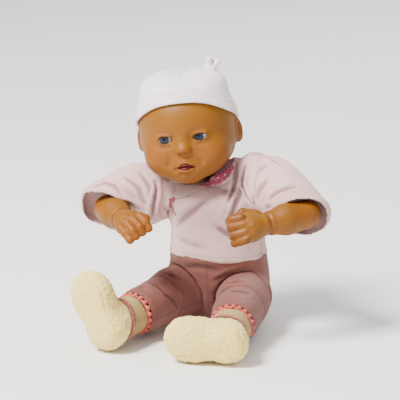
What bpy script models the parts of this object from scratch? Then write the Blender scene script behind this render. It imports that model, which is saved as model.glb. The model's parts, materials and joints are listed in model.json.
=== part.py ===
"""Interactive baby doll, sitting: a soft body with vinyl head, forearms and lower legs.

Metres, +Z up. The doll faces -Y, its left side is +X, and the origin is the middle of the flat
patch of its seat. Each object is one physical piece. Empties mark the joint axes.
"""

import math

import bmesh
import bpy
from mathutils import Matrix, Vector

# ---------------------------------------------------------------- driving dimensions
GAP = 0.0004  # between pieces that touch
CLOTH = 0.0024  # clothes' fabric with its nap
ROUND = 22  # sides of the larger round pieces
SMALL_ROUND = 12
FOOT_SIDES = 16

# Clothed torso: height, centre x, centre y, half width, half depth
TORSO = (
    (0.000, 0.000, -0.010, 0.0380, 0.0220),
    (0.004, 0.000, -0.0125, 0.0460, 0.0295),
    (0.012, 0.000, -0.0160, 0.0520, 0.0360),
    (0.030, 0.000, -0.0195, 0.0550, 0.0415),
    (0.055, 0.000, -0.0235, 0.0545, 0.0420),
    (0.085, 0.000, -0.0295, 0.0520, 0.0415),
    (0.112, 0.000, -0.0355, 0.0508, 0.0390),
    (0.136, 0.000, -0.0400, 0.0500, 0.0360),
    (0.1455, -0.004, -0.0410, 0.0465, 0.0320),
    (0.1520, -0.012, -0.0415, 0.0345, 0.0262),
    (0.1545, -0.0185, -0.0420, 0.0240, 0.0208),
)
TORSO_POWER = 2.25  # how square the torso's cross-section is
WAIST = 0.0815  # where the top's hem meets the trousers

# Head, around its own centre: height, centre y, half width, half depth
HEAD = (
    (-0.0550, 0.0000, 0.0215, 0.0215),
    (-0.0575, -0.0050, 0.0310, 0.0340),
    (-0.0530, -0.0060, 0.0385, 0.0445),
    (-0.0430, -0.0045, 0.0450, 0.0510),
    (-0.0260, -0.0015, 0.0500, 0.0545),
    (-0.0060, 0.0000, 0.0520, 0.0550),
    (0.0140, 0.0010, 0.0510, 0.0540),
    (0.0310, 0.0020, 0.0450, 0.0485),
    (0.0440, 0.0025, 0.0345, 0.0375),
    (0.0530, 0.0030, 0.0210, 0.0230),
)
HEAD_TOP = 0.0570
HEAD_WALL = 0.0030
HEAD_CENTRE = Vector((-0.032, -0.045, 0.2235))
HEAD_YAW = math.radians(12)  # towards the doll's left
HEAD_ROLL = math.radians(-8)  # crown towards the doll's right
NECK_TO_CENTRE = 0.072  # neck ball to the middle of the head

EYE_X, EYE_Y, EYE_Z = 0.0188, -0.0412, -0.0085
EYE_R = 0.0085
EYE_BAR_R = 0.0010
LIP_Z = -0.0380
LIP_HALF_W, LIP_HALF_H = 0.0055, 0.0026
TOOTH_PITCH = 0.005 * 2 * math.pi / 10  # ten teeth on a 5 mm pitch radius
PINION_R = 0.0050
PINION_Y, PINION_Z = -0.0300, LIP_Z + LIP_HALF_H + 0.0011 + PINION_R

CAP_LOW_FRONT = 0.0060  # cap edge's height at the head's axis
CAP_SLOPE = -0.45  # how fast that edge drops towards the back
CAP_BAND = 0.0125

# Arms: shoulder, elbow and palm, left then right
ARM_POINTS = {
    "left": ((0.0528, -0.040, 0.1600), (0.1117, -0.0720, 0.1390), (0.0600, -0.120, 0.1300)),
    "right": ((-0.0528, -0.040, 0.1385), (-0.1125, -0.0712, 0.1255), (-0.0660, -0.126, 0.1245)),
}
PUFF = {"left": 0.0360, "right": 0.0285}  # half height of the sleeve at its fullest
SEAM_R = {"left": 0.0225, "right": 0.0180}  # half height of the sleeve at the shoulder seam
SLEEVE_R = 0.0275
SLEEVE_END = -0.0095  # middle of the sleeve's mouth, past the elbow
SLEEVE_SLANT = 0.0230  # how far its two sides differ from that
ARM_CORE_R = 0.0190
ELBOW_R = 0.0155

# Legs: hip and ankle, and the way the toes point, left then right
LEG_POINTS = {
    "left": ((0.036, -0.040, 0.034), (0.0560, -0.1680, 0.0254), (-1.0, 0.0, 0.050)),
    "right": ((-0.036, -0.040, 0.034), (-0.0690, -0.1650, 0.0272), (-0.464, 0.0, 0.886)),
}
THIGH = 0.0635  # hip to knee
HIP_R = 0.0265
THIGH_END_R = 0.0200
TROUSER_R = 0.0295
HIP_ROOM = 0.0312  # radius of the room that the pelvis leaves for a thigh
RAISE_ROOM = math.radians(21)
KNEE_R = 0.0158
KNEE_ROOM = 0.0140  # how far the two halves of a trouser leg stop short of the knee
SLIPPER_WALL = 0.0042
STRAP_REACH = 0.0228  # how far down each side of the slipper the ribbon goes

# Foot and shin around the ankle, sole down and toes to -Y:
# front or upper point y, z; rear or lower point y, z; half width
FOOT = (
    (-0.0555, -0.0125, -0.0555, -0.0262, 0.0105),
    (-0.0480, -0.0075, -0.0480, -0.0300, 0.0175),
    (-0.0340, -0.0040, -0.0340, -0.0305, 0.0213),
    (-0.0205, 0.0000, -0.0180, -0.0305, 0.0200),
    (-0.0155, 0.0050, 0.0040, -0.0305, 0.0185),
    (-0.0145, 0.0090, 0.0205, -0.0235, 0.0175),
    (-0.0140, 0.0140, 0.0235, -0.0060, 0.0168),
    (-0.0145, 0.0200, 0.0180, 0.0120, 0.0165),
    (-0.0160, 0.0300, 0.0165, 0.0295, 0.0165),
)
TOE = (-0.0583, -0.0190)

# Voice module: its back face is the XZ plane of its own frame
MODULE_CENTRE = Vector((0.0, -0.0078, 0.1010))
MODULE_TILT = math.radians(16)
MODULE_W, MODULE_H = 0.0540, 0.0620
CASE_DEPTH, COVER_DEPTH = 0.0190, 0.0110
CELL_R, CELL_LENGTH = 0.00715, 0.0480
DOOR_W, DOOR_H, DOOR_T = 0.0490, 0.0505, 0.0018
DOOR_Z = 0.0040  # the door's middle above the module's
SWITCH_TRAVEL = 0.0040
SCREW_X = 0.0195

BELLY_Z = 0.1080
BELLY_FACE_Y = -0.0682
BELLY_R = 0.0092
BELLY_HOUSING_R, BELLY_HOUSING_DEPTH = 0.0130, 0.0080

BALL_R = 0.0103  # neck ball
SOCKET_ROOM = 0.0005  # between the ball and its socket
SOCKET_R, SOCKET_DEPTH = 0.0136, 0.0130

X, Y, Z = Vector((1, 0, 0)), Vector((0, 1, 0)), Vector((0, 0, 1))


# ---------------------------------------------------------------- scene, materials, frames
def clear_scene():
    for old in list(bpy.data.objects):
        bpy.data.objects.remove(old, do_unlink=True)


def material(name, colour, roughness, metallic=0.0):
    made = bpy.data.materials.get(name)
    if made:
        return made
    made = bpy.data.materials.new(name)
    made.use_nodes = True
    shader = made.node_tree.nodes["Principled BSDF"]
    shader.inputs["Base Color"].default_value = (*colour, 1.0)
    shader.inputs["Roughness"].default_value = roughness
    shader.inputs["Metallic"].default_value = metallic
    return made


def frame(name, matrix, parent=None):
    """An empty on a joint's axis. Pieces are parented to it and modelled around it."""
    empty = bpy.data.objects.new(name, None)
    bpy.context.scene.collection.objects.link(empty)
    empty["world"] = [value for row in matrix for value in row]
    if parent:
        empty.parent = parent
        empty.matrix_basis = world_of(parent).inverted() @ matrix
    else:
        empty.matrix_basis = matrix
    return empty


def world_of(empty):
    values = list(empty["world"])
    return Matrix([values[i : i + 4] for i in range(0, 16, 4)])


def basis(origin, x_axis, y_axis, z_axis):
    axes = Matrix((x_axis, y_axis, z_axis)).transposed().to_4x4()
    return Matrix.Translation(origin) @ axes


# ---------------------------------------------------------------- mesh builders
def finish(name, bm, look, parent, in_world=False, sharp=40):
    if in_world:
        bm.transform(world_of(parent).inverted())
    bmesh.ops.recalc_face_normals(bm, faces=bm.faces)
    mesh = bpy.data.meshes.new(name)
    bm.to_mesh(mesh)
    bm.free()
    mesh.shade_smooth()
    mesh.set_sharp_from_angle(angle=math.radians(sharp))
    obj = bpy.data.objects.new(name, mesh)
    bpy.context.scene.collection.objects.link(obj)
    obj.parent = parent
    if look:
        mesh.materials.append(look)
    return obj


def cutter(name, bm, parent, in_world=False):
    obj = finish(name, bm, None, parent, in_world)
    obj.hide_render = True
    obj.display_type = "WIRE"
    return obj


def combine(target, other, operation="DIFFERENCE"):
    boolean = target.modifiers.new(f"{operation.lower()}_{other.name}", "BOOLEAN")
    boolean.object = other
    boolean.operation = operation
    boolean.solver = "EXACT"


def oval(centre, u, v, half_u, half_v, sides=ROUND, power=2.0):
    """A closed ring of points in the plane of u and v."""
    points = []
    for i in range(sides):
        turn = 2 * math.pi * (i + 0.5) / sides
        c, s = math.cos(turn), math.sin(turn)
        a = math.copysign(abs(c) ** (2 / power), c) * half_u
        b = math.copysign(abs(s) ** (2 / power), s) * half_v
        points.append(Vector(centre) + u * a + v * b)
    return points


def skin(bm, sections):
    """Faces between rings; a lone point closes an end. Returns the first and last vertices."""
    rings = [
        [bm.verts.new(p) for p in s] if isinstance(s, list) else [bm.verts.new(s)]
        for s in sections
    ]
    for low, high in zip(rings, rings[1:]):
        count = max(len(low), len(high))
        for i in range(count):
            j = (i + 1) % count
            corners = [ring[k % len(ring)] for ring, k in ((low, i), (low, j), (high, j), (high, i))]
            bm.faces.new(list(dict.fromkeys(corners)))
    return rings[0], rings[-1]


def cap(bm, ring):
    if len(ring) > 1:
        bm.faces.new(ring)


def loft(sections):
    """A closed body through rings and points."""
    bm = bmesh.new()
    first, last = skin(bm, sections)
    cap(bm, first)
    cap(bm, last)
    return bm


def close_round(bm, first, last):
    """Faces between the last ring and the first, so that the outline closes on itself."""
    for i in range(len(first)):
        j = (i + 1) % len(first)
        bm.faces.new((last[i], last[j], first[j], first[i]))


def hollow(outer, inner, closed_end):
    """A wall between two lofts, open at the start and, unless closed_end, at the end too."""
    bm = bmesh.new()
    outer_first, outer_last = skin(bm, outer)
    inner_first, inner_last = skin(bm, inner)
    close_round(bm, inner_first, outer_first)
    if closed_end:
        cap(bm, outer_last)
        cap(bm, inner_last)
    else:
        close_round(bm, inner_last, outer_last)
    return bm


def box(low, high):
    bm = bmesh.new()
    size = [h - l for l, h in zip(low, high)]
    middle = [(h + l) / 2 for l, h in zip(low, high)]
    place = Matrix.Translation(middle) @ Matrix.Diagonal((*size, 1.0))
    bmesh.ops.create_cube(bm, size=1.0, matrix=place)
    return bm


def rod(start, end, radius, sides=SMALL_ROUND, end_radius=None):
    """A cylinder, or a cone, between two points."""
    start, end = Vector(start), Vector(end)
    along = (end - start).normalized()
    u = along.orthogonal().normalized()
    v = along.cross(u)
    return loft(
        [
            oval(start, u, v, radius, radius, sides),
            oval(end, u, v, end_radius or radius, end_radius or radius, sides),
        ]
    )


def turned(points, centre=(0, 0, 0), axis=Z, sides=SMALL_ROUND):
    """A body of revolution from (radius, height) pairs that start and end on the axis."""
    u = axis.orthogonal().normalized()
    v = axis.cross(u)
    sections = []
    for radius, height in points:
        middle = Vector(centre) + axis * height
        sections.append(oval(middle, u, v, radius, radius, sides) if radius else middle)
    return loft(sections)


def ring_body(points, centre=(0, 0, 0), axis=Z, sides=SMALL_ROUND):
    """A ring from a closed outline of (radius, height) pairs."""
    u = axis.orthogonal().normalized()
    v = axis.cross(u)
    bm = bmesh.new()
    rings = [oval(Vector(centre) + axis * h, u, v, r, r, sides) for r, h in points]
    close_round(bm, *skin(bm, rings))
    return bm


def ball(centre, radius, segments=20, rings=12, stretch=(1, 1, 1)):
    bm = bmesh.new()
    place = Matrix.Translation(centre) @ Matrix.Diagonal((*stretch, 1.0))
    bmesh.ops.create_uvsphere(
        bm, u_segments=segments, v_segments=rings, radius=radius, matrix=place
    )
    return bm


def extrude_outline(points, x_low, x_high):
    """A prism along X from (y, z) points."""
    bm = bmesh.new()
    for end in skin(bm, [[Vector((x, y, z)) for y, z in points] for x in (x_low, x_high)]):
        cap(bm, end)
    return bm


# ---------------------------------------------------------------- looks
def looks():
    return {
        "body_cloth": material("body_cloth", (0.86, 0.78, 0.72), 0.9),
        "vinyl_skin": material("vinyl_skin", (0.58, 0.31, 0.16), 0.55),
        "knit_white": material("knit_white", (0.90, 0.87, 0.87), 0.9),
        "knit_pink": material("knit_pink", (0.80, 0.62, 0.66), 0.9),
        "trouser_cloth": material("trouser_cloth", (0.42, 0.22, 0.21), 0.9),
        "plush_cream": material("plush_cream", (0.86, 0.80, 0.62), 0.95),
        "trim_coral": material("trim_coral", (0.75, 0.20, 0.16), 0.9),
        "ribbon_red": material("ribbon_red", (0.50, 0.12, 0.10), 0.8),
        "collar_pink": material("collar_pink", (0.62, 0.25, 0.36), 0.9),
        "eye_blue": material("eye_blue", (0.12, 0.22, 0.34), 0.12),
        "lip_red": material("lip_red", (0.40, 0.09, 0.05), 0.5),
        "white_plastic": material("white_plastic", (0.82, 0.82, 0.80), 0.45),
        "grey_plastic": material("grey_plastic", (0.35, 0.36, 0.38), 0.5),
        "steel": material("steel", (0.60, 0.60, 0.62), 0.35, 1.0),
        "cell_wrap": material("cell_wrap", (0.10, 0.11, 0.13), 0.3),
        "board_green": material("board_green", (0.05, 0.25, 0.10), 0.5),
        "speaker_black": material("speaker_black", (0.04, 0.04, 0.04), 0.7),
        "pinion_white": material("pinion_white", (0.88, 0.87, 0.80), 0.4),
    }


# ---------------------------------------------------------------- torso and its clothes
def torso_ring(height, inset):
    """A ring of the clothed torso's surface, moved inwards by inset."""
    rows = list(zip(TORSO, TORSO[1:]))
    low, high = next(pair for pair in rows if height <= pair[1][0] + 1e-9)
    share = (height - low[0]) / (high[0] - low[0])
    _, cx, cy, half_w, half_d = [a + (b - a) * share for a, b in zip(low, high)]
    lifted = height + inset * (1 - min(height / 0.012, 1))
    centre = (cx, cy, lifted)
    return oval(centre, X, Y, half_w - inset, half_d - inset, ROUND, TORSO_POWER)


def torso_rings(low, high, inset):
    heights = [low] + [row[0] for row in TORSO if low < row[0] < high] + [high]
    return [torso_ring(h, inset) for h in heights]


def thigh_room(side, world):
    """The room in the pelvis that a thigh needs as it swings: behind the hip a round hollow,
    below and in front of it nothing, above it up to the raised thigh."""
    hip = LEG_POINTS[side][0]
    facing = 1 if side == "left" else -1
    points = []
    steps = 10
    for i in range(steps + 1):
        turn = (math.pi / 2 - RAISE_ROOM) * i / steps
        points.append((hip[1] + HIP_ROOM * math.cos(turn), hip[2] + HIP_ROOM * math.sin(turn)))
    reach = 0.12
    y_end, z_end = points[-1]
    points.append((y_end - reach * math.cos(RAISE_ROOM), z_end + reach * math.sin(RAISE_ROOM)))
    points.append((points[-1][0], -0.05))
    points.append((hip[1] + HIP_ROOM, -0.05))
    low_x, high_x = sorted((facing * 0.0045, facing * 0.080))
    return cutter(f"thigh_room_{side}", extrude_outline(points, low_x, high_x), world)


def build_torso(look, world, module, neck):
    core_inset = CLOTH + GAP
    neckline = TORSO[-1][0]
    core = loft(torso_rings(0.0, neckline, core_inset))
    core = finish("torso_body", core, look["body_cloth"], world)
    outside, inside = [torso_rings(0.0, WAIST, inset)[::-1] for inset in (0.0, CLOTH)]
    seat = hollow(outside, inside, closed_end=True)
    seat = finish("trousers_seat", seat, look["trouser_cloth"], world)
    outside, inside = [torso_rings(WAIST + GAP, neckline, inset) for inset in (0.0, CLOTH)]
    top = hollow(outside, inside, closed_end=False)
    top = finish("romper_top", top, look["knit_pink"], world)
    for side in ("left", "right"):
        room = thigh_room(side, world)
        for piece in (core, seat, top):
            combine(piece, room)

    half_w, half_h = MODULE_W / 2 + GAP, MODULE_H / 2 + GAP
    pocket = box((-half_w, -CASE_DEPTH - COVER_DEPTH - GAP, -half_h), (half_w, 0.015, half_h))
    combine(core, cutter("module_pocket", pocket, module))
    front, back = BELLY_FACE_Y - 0.01, BELLY_FACE_Y + BELLY_HOUSING_DEPTH + GAP
    pocket = rod((0, front, BELLY_Z), (0, back, BELLY_Z), BELLY_HOUSING_R + GAP, 20)
    combine(core, cutter("belly_pocket", pocket, world))
    recess = rod((0, 0, -SOCKET_DEPTH - GAP), (0, 0, 0.02), SOCKET_R + GAP, 20)
    combine(core, cutter("neck_recess", recess, neck))

    collar_low = neckline + GAP
    middle = Vector((TORSO[-1][1], TORSO[-1][2], collar_low))
    rings = [
        oval(middle + Z * height, X, Y, 0.0215 + grow, 0.0188 + grow, ROUND)
        for height, grow in (
            (0.0, 0.0022),
            (0.0022, 0.0030),
            (0.0036, 0.0020),
            (0.0036, 0.0),
            (0.0, 0.0),
        )
    ]
    bm = bmesh.new()
    close_round(bm, *skin(bm, rings))
    finish("collar", bm, look["collar_pink"], world)


def build_module(look, module):
    """Battery and voice module, in a frame whose XZ plane is its back face."""
    half_w, half_h = MODULE_W / 2, MODULE_H / 2
    case = box((-half_w, -CASE_DEPTH, -half_h), (half_w, 0, half_h))
    case = finish("module_case", case, look["white_plastic"], module)
    door_low = DOOR_Z - DOOR_H / 2
    door_high = DOOR_Z + DOOR_H / 2
    recess = box(
        (-DOOR_W / 2 - GAP, -DOOR_T - GAP, door_low - GAP),
        (DOOR_W / 2 + GAP, 0.01, door_high + GAP),
    )
    combine(case, cutter("door_recess", recess, module))
    bay_depth = 2 * CELL_R + 0.0006
    bay = box(
        (-0.0222, -DOOR_T - bay_depth, DOOR_Z - 0.0247),
        (0.0222, 0.005, DOOR_Z + 0.0247),
    )
    combine(case, cutter("battery_bay", bay, module))
    slot_z = -half_h + 0.0042
    slot = box(
        (-SWITCH_TRAVEL / 2 - 0.0022, -CASE_DEPTH - 0.01, slot_z - 0.0018),
        (SWITCH_TRAVEL / 2 + 0.0022, 0.01, slot_z + 0.0018),
    )
    combine(case, cutter("switch_slot", slot, module))
    hole = rod((SCREW_X, -0.012, slot_z), (SCREW_X, 0.01, slot_z), 0.0016)
    combine(case, cutter("screw_hole", hole, module))

    finish(
        "battery_door",
        box((-DOOR_W / 2, -DOOR_T, door_low), (DOOR_W / 2, 0, door_high)),
        look["white_plastic"],
        module,
    )

    outline = (
        (0, -0.0105),
        (0.0012, -0.0095),
        (0.0012, 0.0003),
        (0.0027, 0.0003),
        (0.0027, 0.0012),
        (0, 0.0012),
    )
    screw = turned(outline, (SCREW_X, 0, slot_z), Y)
    finish("battery_door_screw", screw, look["steel"], module)
    for i in range(3):
        x = (i - 1) * (2 * CELL_R + 0.0003)
        low = DOOR_Z - CELL_LENGTH / 2
        profile = (
            (0, 0.0),
            (CELL_R, 0.0),
            (CELL_R, CELL_LENGTH - 0.0015),
            (0.0027, CELL_LENGTH - 0.0015),
            (0.0027, CELL_LENGTH),
            (0, CELL_LENGTH),
        )
        centre = (x, -DOOR_T - GAP - CELL_R, low)
        if i == 1:
            profile = [(r, CELL_LENGTH - h) for r, h in profile]
        finish(f"battery_{i + 1}", turned(profile, centre), look["cell_wrap"], module)

    front = -CASE_DEPTH - GAP
    back_wall = front - COVER_DEPTH + GAP
    cover = box((-half_w, back_wall, -half_h), (half_w, front, half_h))
    cover = finish("module_cover", cover, look["white_plastic"], module)
    wall = 0.002
    low = (-half_w + wall, back_wall + wall, -half_h + wall)
    inside = box(low, (half_w - wall, front + 0.01, half_h - wall))
    combine(cover, cutter("cover_inside", inside, module))
    for row in range(-1, 2):
        for column in range(-1, 2):
            x, z = column * 0.006, 0.012 + row * 0.006
            hole = rod((x, back_wall - 0.005, z), (x, back_wall + 0.005, z), 0.0012, 8)
            combine(cover, cutter(f"sound_hole_{row + 1}_{column + 1}", hole, module))
    outline = ((0, 0), (0.0135, 0), (0.0135, 0.0012), (0.0075, 0.0045), (0.0075, 0.0060), (0, 0.0060))
    speaker = turned(outline, (0, back_wall + 0.0024, 0.012), Y, 18)
    finish("speaker", speaker, look["speaker_black"], module)
    low = (-0.020, back_wall + 0.0035, -half_h + 0.0035)
    board = box(low, (0.020, back_wall + 0.0051, -0.0060))
    finish("circuit_board", board, look["board_green"], module)
    knob = box((-0.0020, -0.0060, slot_z - 0.0014), (0.0020, 0.0012, slot_z + 0.0014))
    finish("power_switch_knob", knob, look["grey_plastic"], module)


def build_belly_sensor(look, world):
    face = BELLY_FACE_Y
    finish(
        "belly_sensor_housing",
        turned(
            (
                (0, BELLY_HOUSING_DEPTH),
                (BELLY_HOUSING_R, BELLY_HOUSING_DEPTH),
                (BELLY_HOUSING_R, 0.0),
                (0.0098, 0.0),
                (0.0098, 0.0052),
                (0, 0.0052),
            ),
            (0, face, BELLY_Z),
            Y,
            24,
        ),
        look["white_plastic"],
        world,
    )
    at_button = frame("belly_button_axis", Matrix.Translation((0, face, BELLY_Z)), world)
    outline = ((0, 0.0026), (BELLY_R, 0.0026), (BELLY_R, 0.0), (0.0080, -0.0006), (0, -0.0008))
    button = turned(outline, axis=Y, sides=18)
    finish("belly_button", button, look["grey_plastic"], at_button)


# ---------------------------------------------------------------- neck and head
def build_neck(look, world, neck):
    """The ball post on the neck's own axis; its socket stays with the torso."""
    rim = 0.0048
    outline = [(0.0098, rim), (SOCKET_R, rim), (SOCKET_R, -SOCKET_DEPTH), (0.0010, -SOCKET_DEPTH)]
    inner_r = BALL_R + SOCKET_ROOM
    turns = [math.radians(a) for a in (-84, -60, -36, -12, 12, 25)]
    outline += [(inner_r * math.cos(t), inner_r * math.sin(t)) for t in turns]
    at_socket = frame("socket_place", world_of(neck), world)
    finish("neck_socket", ring_body(outline, sides=18), look["white_plastic"], at_socket)
    turns = [math.radians(a) for a in (-70, -45, -20, 5, 30, 52)]
    outline = [(0, -BALL_R)] + [(BALL_R * math.cos(t), BALL_R * math.sin(t)) for t in turns]
    outline += [(0.0060, 0.0200), (0.0130, 0.0215), (0.0130, 0.0240), (0, 0.0240)]
    finish("neck_post", turned(outline, sides=18), look["white_plastic"], neck)


def head_ring(row, inset, lift=0.0):
    height, cy, half_w, half_d = row
    return oval((0, cy, height + lift), X, Y, half_w - inset, half_d - inset, ROUND)


def head_sections(inset, rows=HEAD):
    """Rings from the neck to the crown, moved inwards by inset; the crown's point ends them."""
    top = HEAD_TOP - inset
    sections = []
    for i, row in enumerate(rows):
        lift = inset if i == 1 else 0.0
        if row[0] > 0.02:
            lift = -inset * (row[0] / HEAD_TOP) ** 2
        sections.append(head_ring(row, inset, lift))
    return sections + [Vector((0, 0.003, top))]


def build_head(look, head):
    shell = finish(
        "head_shell",
        hollow(head_sections(0.0), head_sections(HEAD_WALL), closed_end=True),
        look["vinyl_skin"],
        head,
    )
    for side, facing in (("left", 1), ("right", -1)):
        centre = (facing * EYE_X, EYE_Y, EYE_Z)
        combine(shell, cutter(f"eye_socket_{side}", ball(centre, EYE_R + 0.0007, 18, 12), head))
        front = Vector((facing * (EYE_X + 0.0006), -0.07, EYE_Z - 0.0003))
        back = front + Y * (0.07 + EYE_Y)
        lids = loft([oval(front, X, Z, 0.0064, 0.0044, 16), oval(back, X, Z, 0.0064, 0.0044, 16)])
        combine(shell, cutter(f"eye_opening_{side}", lids, head))
        ear = ball((facing * 0.0525, 0.006, -0.0125), 0.0120, 12, 8, (0.5, 0.75, 1.05))
        combine(shell, cutter(f"ear_{side}", ear, head), "UNION")
    mouth = box(
        (-LIP_HALF_W - GAP, -0.07, LIP_Z - LIP_HALF_H - GAP),
        (LIP_HALF_W + GAP, -0.040, LIP_Z + LIP_HALF_H + GAP),
    )
    combine(shell, cutter("mouth_opening", mouth, head))

    bearing = (
        (0.0066, -0.0568),
        (0.0180, -0.0568),
        (0.0180, -0.0540),
        (0.0212, -0.0538),
        (0.0205, -0.0522),
        (0.0066, -0.0522),
    )
    finish("neck_bearing_ring", ring_body(bearing, sides=ROUND), look["white_plastic"], head)


def build_eyes(look, head):
    axis_at = world_of(head) @ Matrix.Translation((0, EYE_Y, EYE_Z))
    eyes = frame("eyes_axis", axis_at, head)
    for side, facing in (("left", 1), ("right", -1)):
        eye = ball((facing * EYE_X, 0, 0), EYE_R, 16, 10)
        eye = finish(f"eye_{side}", eye, look["eye_blue"], eyes)
        hole = rod((facing * 0.009, 0, 0), (facing * (EYE_X - 0.0035), 0, 0), EYE_BAR_R + 0.0003)
        combine(eye, cutter(f"bar_hole_{side}", hole, eyes))
    reach = EYE_X - 0.0040
    finish("eye_bar", rod((-reach, 0, 0), (reach, 0, 0), EYE_BAR_R), look["steel"], eyes)
    drop = -0.0110
    weight = finish(
        "eye_weight", rod((-0.0050, 0, drop), (0.0050, 0, drop), 0.0038), look["grey_plastic"], eyes
    )
    arm = box((-0.0012, -0.0009, drop), (0.0012, 0.0009, -EYE_BAR_R - 0.0003))
    combine(weight, cutter("weight_arm", arm, eyes), "UNION")


def build_mouth(look, head):
    """Lip plunger with a rack along its top, the pinion in mesh with it, motor and frame."""
    plunger = finish(
        "lip_plunger",
        box((-LIP_HALF_W, -0.0536, LIP_Z - LIP_HALF_H), (LIP_HALF_W, -0.0225, LIP_Z + LIP_HALF_H)),
        look["lip_red"],
        head,
    )
    root = LIP_Z + LIP_HALF_H
    for i in range(-3, 2):
        y = PINION_Y + (i + 0.5) * TOOTH_PITCH
        tooth = extrude_outline(
            (
                (y - 0.0009, root - 0.0008),
                (y + 0.0009, root - 0.0008),
                (y + 0.0003, root + 0.0018),
                (y - 0.0003, root + 0.0018),
            ),
            -0.0024,
            0.0024,
        )
        combine(plunger, cutter(f"rack_tooth_{i + 4}", tooth, head), "UNION")

    pinion_at = world_of(head) @ Matrix.Translation((0, PINION_Y, PINION_Z))
    pinion_frame = frame("pinion_axis", pinion_at, head)
    outline = []
    for i in range(10):
        middle = 2 * math.pi * i / 10 - math.pi / 2
        for angle, radius in ((-0.17, 0.0038), (-0.055, 0.0057), (0.055, 0.0057), (0.17, 0.0038)):
            turn = middle + angle
            outline.append((radius * math.cos(turn), radius * math.sin(turn)))
    pinion = extrude_outline(outline, -0.0028, 0.0028)
    pinion = finish("mouth_pinion", pinion, look["pinion_white"], pinion_frame)
    axle = cutter("pinion_axle", rod((-0.0086, 0, 0), (0.0130, 0, 0), 0.0010), pinion_frame)
    combine(pinion, axle, "UNION")

    motor = finish(
        "mouth_motor",
        rod((0.0100, PINION_Y, PINION_Z), (0.0290, PINION_Y, PINION_Z), 0.0070, 20),
        look["steel"],
        head,
    )
    bore = rod((0.0080, PINION_Y, PINION_Z), (0.0140, PINION_Y, PINION_Z), 0.0014)
    combine(motor, cutter("motor_bore", bore, head))

    bracket = finish(
        "head_mechanism_frame",
        box((-0.0090, -0.0470, -0.0460), (0.0090, -0.0170, -0.0035)),
        look["white_plastic"],
        head,
    )
    inside = box((-0.0075, -0.0600, -0.0442), (0.0075, -0.0185, 0.010))
    combine(bracket, cutter("frame_inside", inside, head))
    hole = rod((-0.02, EYE_Y, EYE_Z), (0.02, EYE_Y, EYE_Z), 0.0014)
    combine(bracket, cutter("bar_bearings", hole, head))
    hole = rod((-0.02, PINION_Y, PINION_Z), (0.02, PINION_Y, PINION_Z), 0.0014)
    combine(bracket, cutter("pinion_bearings", hole, head))


def cap_cut(name, head, offset, above):
    """A large wedge above or below the sloping edge of the cap."""
    half = 0.15
    depth = half if above else -half
    front, back = [(y, CAP_LOW_FRONT + offset + CAP_SLOPE * y) for y in (-half, half)]
    outline = [front, back, (half, back[1] + depth * 2), (-half, front[1] + depth * 2)]
    return cutter(name, extrude_outline(outline, -half, half), head)


def build_cap(look, head):
    rows = HEAD[3:]
    for name, outer, edges in (
        ("cap_crown", 0.0026, (("below", CAP_BAND + GAP, False),)),
        ("cap_band", 0.0034, (("below", 0.0, False), ("above", CAP_BAND, True))),
    ):
        shell = hollow(head_sections(-outer, rows), head_sections(-GAP, rows), closed_end=True)
        piece = finish(name, shell, look["knit_white"], head)
        for label, offset, above in edges:
            combine(piece, cap_cut(f"{name}_{label}", head, offset, above))
    tail = (
        (0, 0.0),
        (0.0080, 0.0006),
        (0.0058, 0.0036),
        (0.0085, 0.0075),
        (0.0080, 0.0118),
        (0.0042, 0.0146),
        (0, 0.0153),
    )
    lean = Vector((0.42, 0, 0.90)).normalized()
    finish("cap_knot", turned(tail, (0.0165, 0.003, 0.0596), lean), look["knit_white"], head)


# ---------------------------------------------------------------- arms
def arm_frames(side):
    shoulder, elbow, palm = [Vector(p) for p in ARM_POINTS[side]]
    along = (elbow - shoulder).normalized()
    forward = (palm - elbow).normalized()
    hinge = along.cross(forward).normalized()
    if hinge.z < 0:
        hinge = -hinge
    return shoulder, elbow, along, forward, hinge


def arm_sections(side, scale, puff, end_at, elbow_cut):
    """Rings from the shoulder's flat seam plane to an oblique opening at the elbow."""
    shoulder, elbow, along, forward, hinge = arm_frames(side)
    facing = 1 if side == "left" else -1
    across = (Z.cross(along) * facing).normalized()
    up = along.cross(across) * facing
    length = (elbow - shoulder).length
    sections = [oval(shoulder, Y, Z, 0.0215 * scale, SEAM_R[side] * scale, ROUND)]
    for share, bulge in ((0.25, 0.75), (0.48, 1.0)):
        centre = shoulder + along * (length * share)
        height = SLEEVE_R + (puff - SLEEVE_R) * bulge
        sections.append(oval(centre, across, up, SLEEVE_R * scale, height * scale, ROUND))
    to_outer = along.cross(hinge)
    if to_outer.dot(forward) > 0:
        to_outer = -to_outer
    slant = (to_outer * SLEEVE_R * scale + along * elbow_cut).normalized()
    reach = math.hypot(SLEEVE_R * scale, elbow_cut)
    if slant.dot(across) < 0:
        slant = -slant
    end = elbow + along * end_at
    sections.append(oval(end, slant, hinge, reach, SLEEVE_R * scale, ROUND))
    return sections


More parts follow.
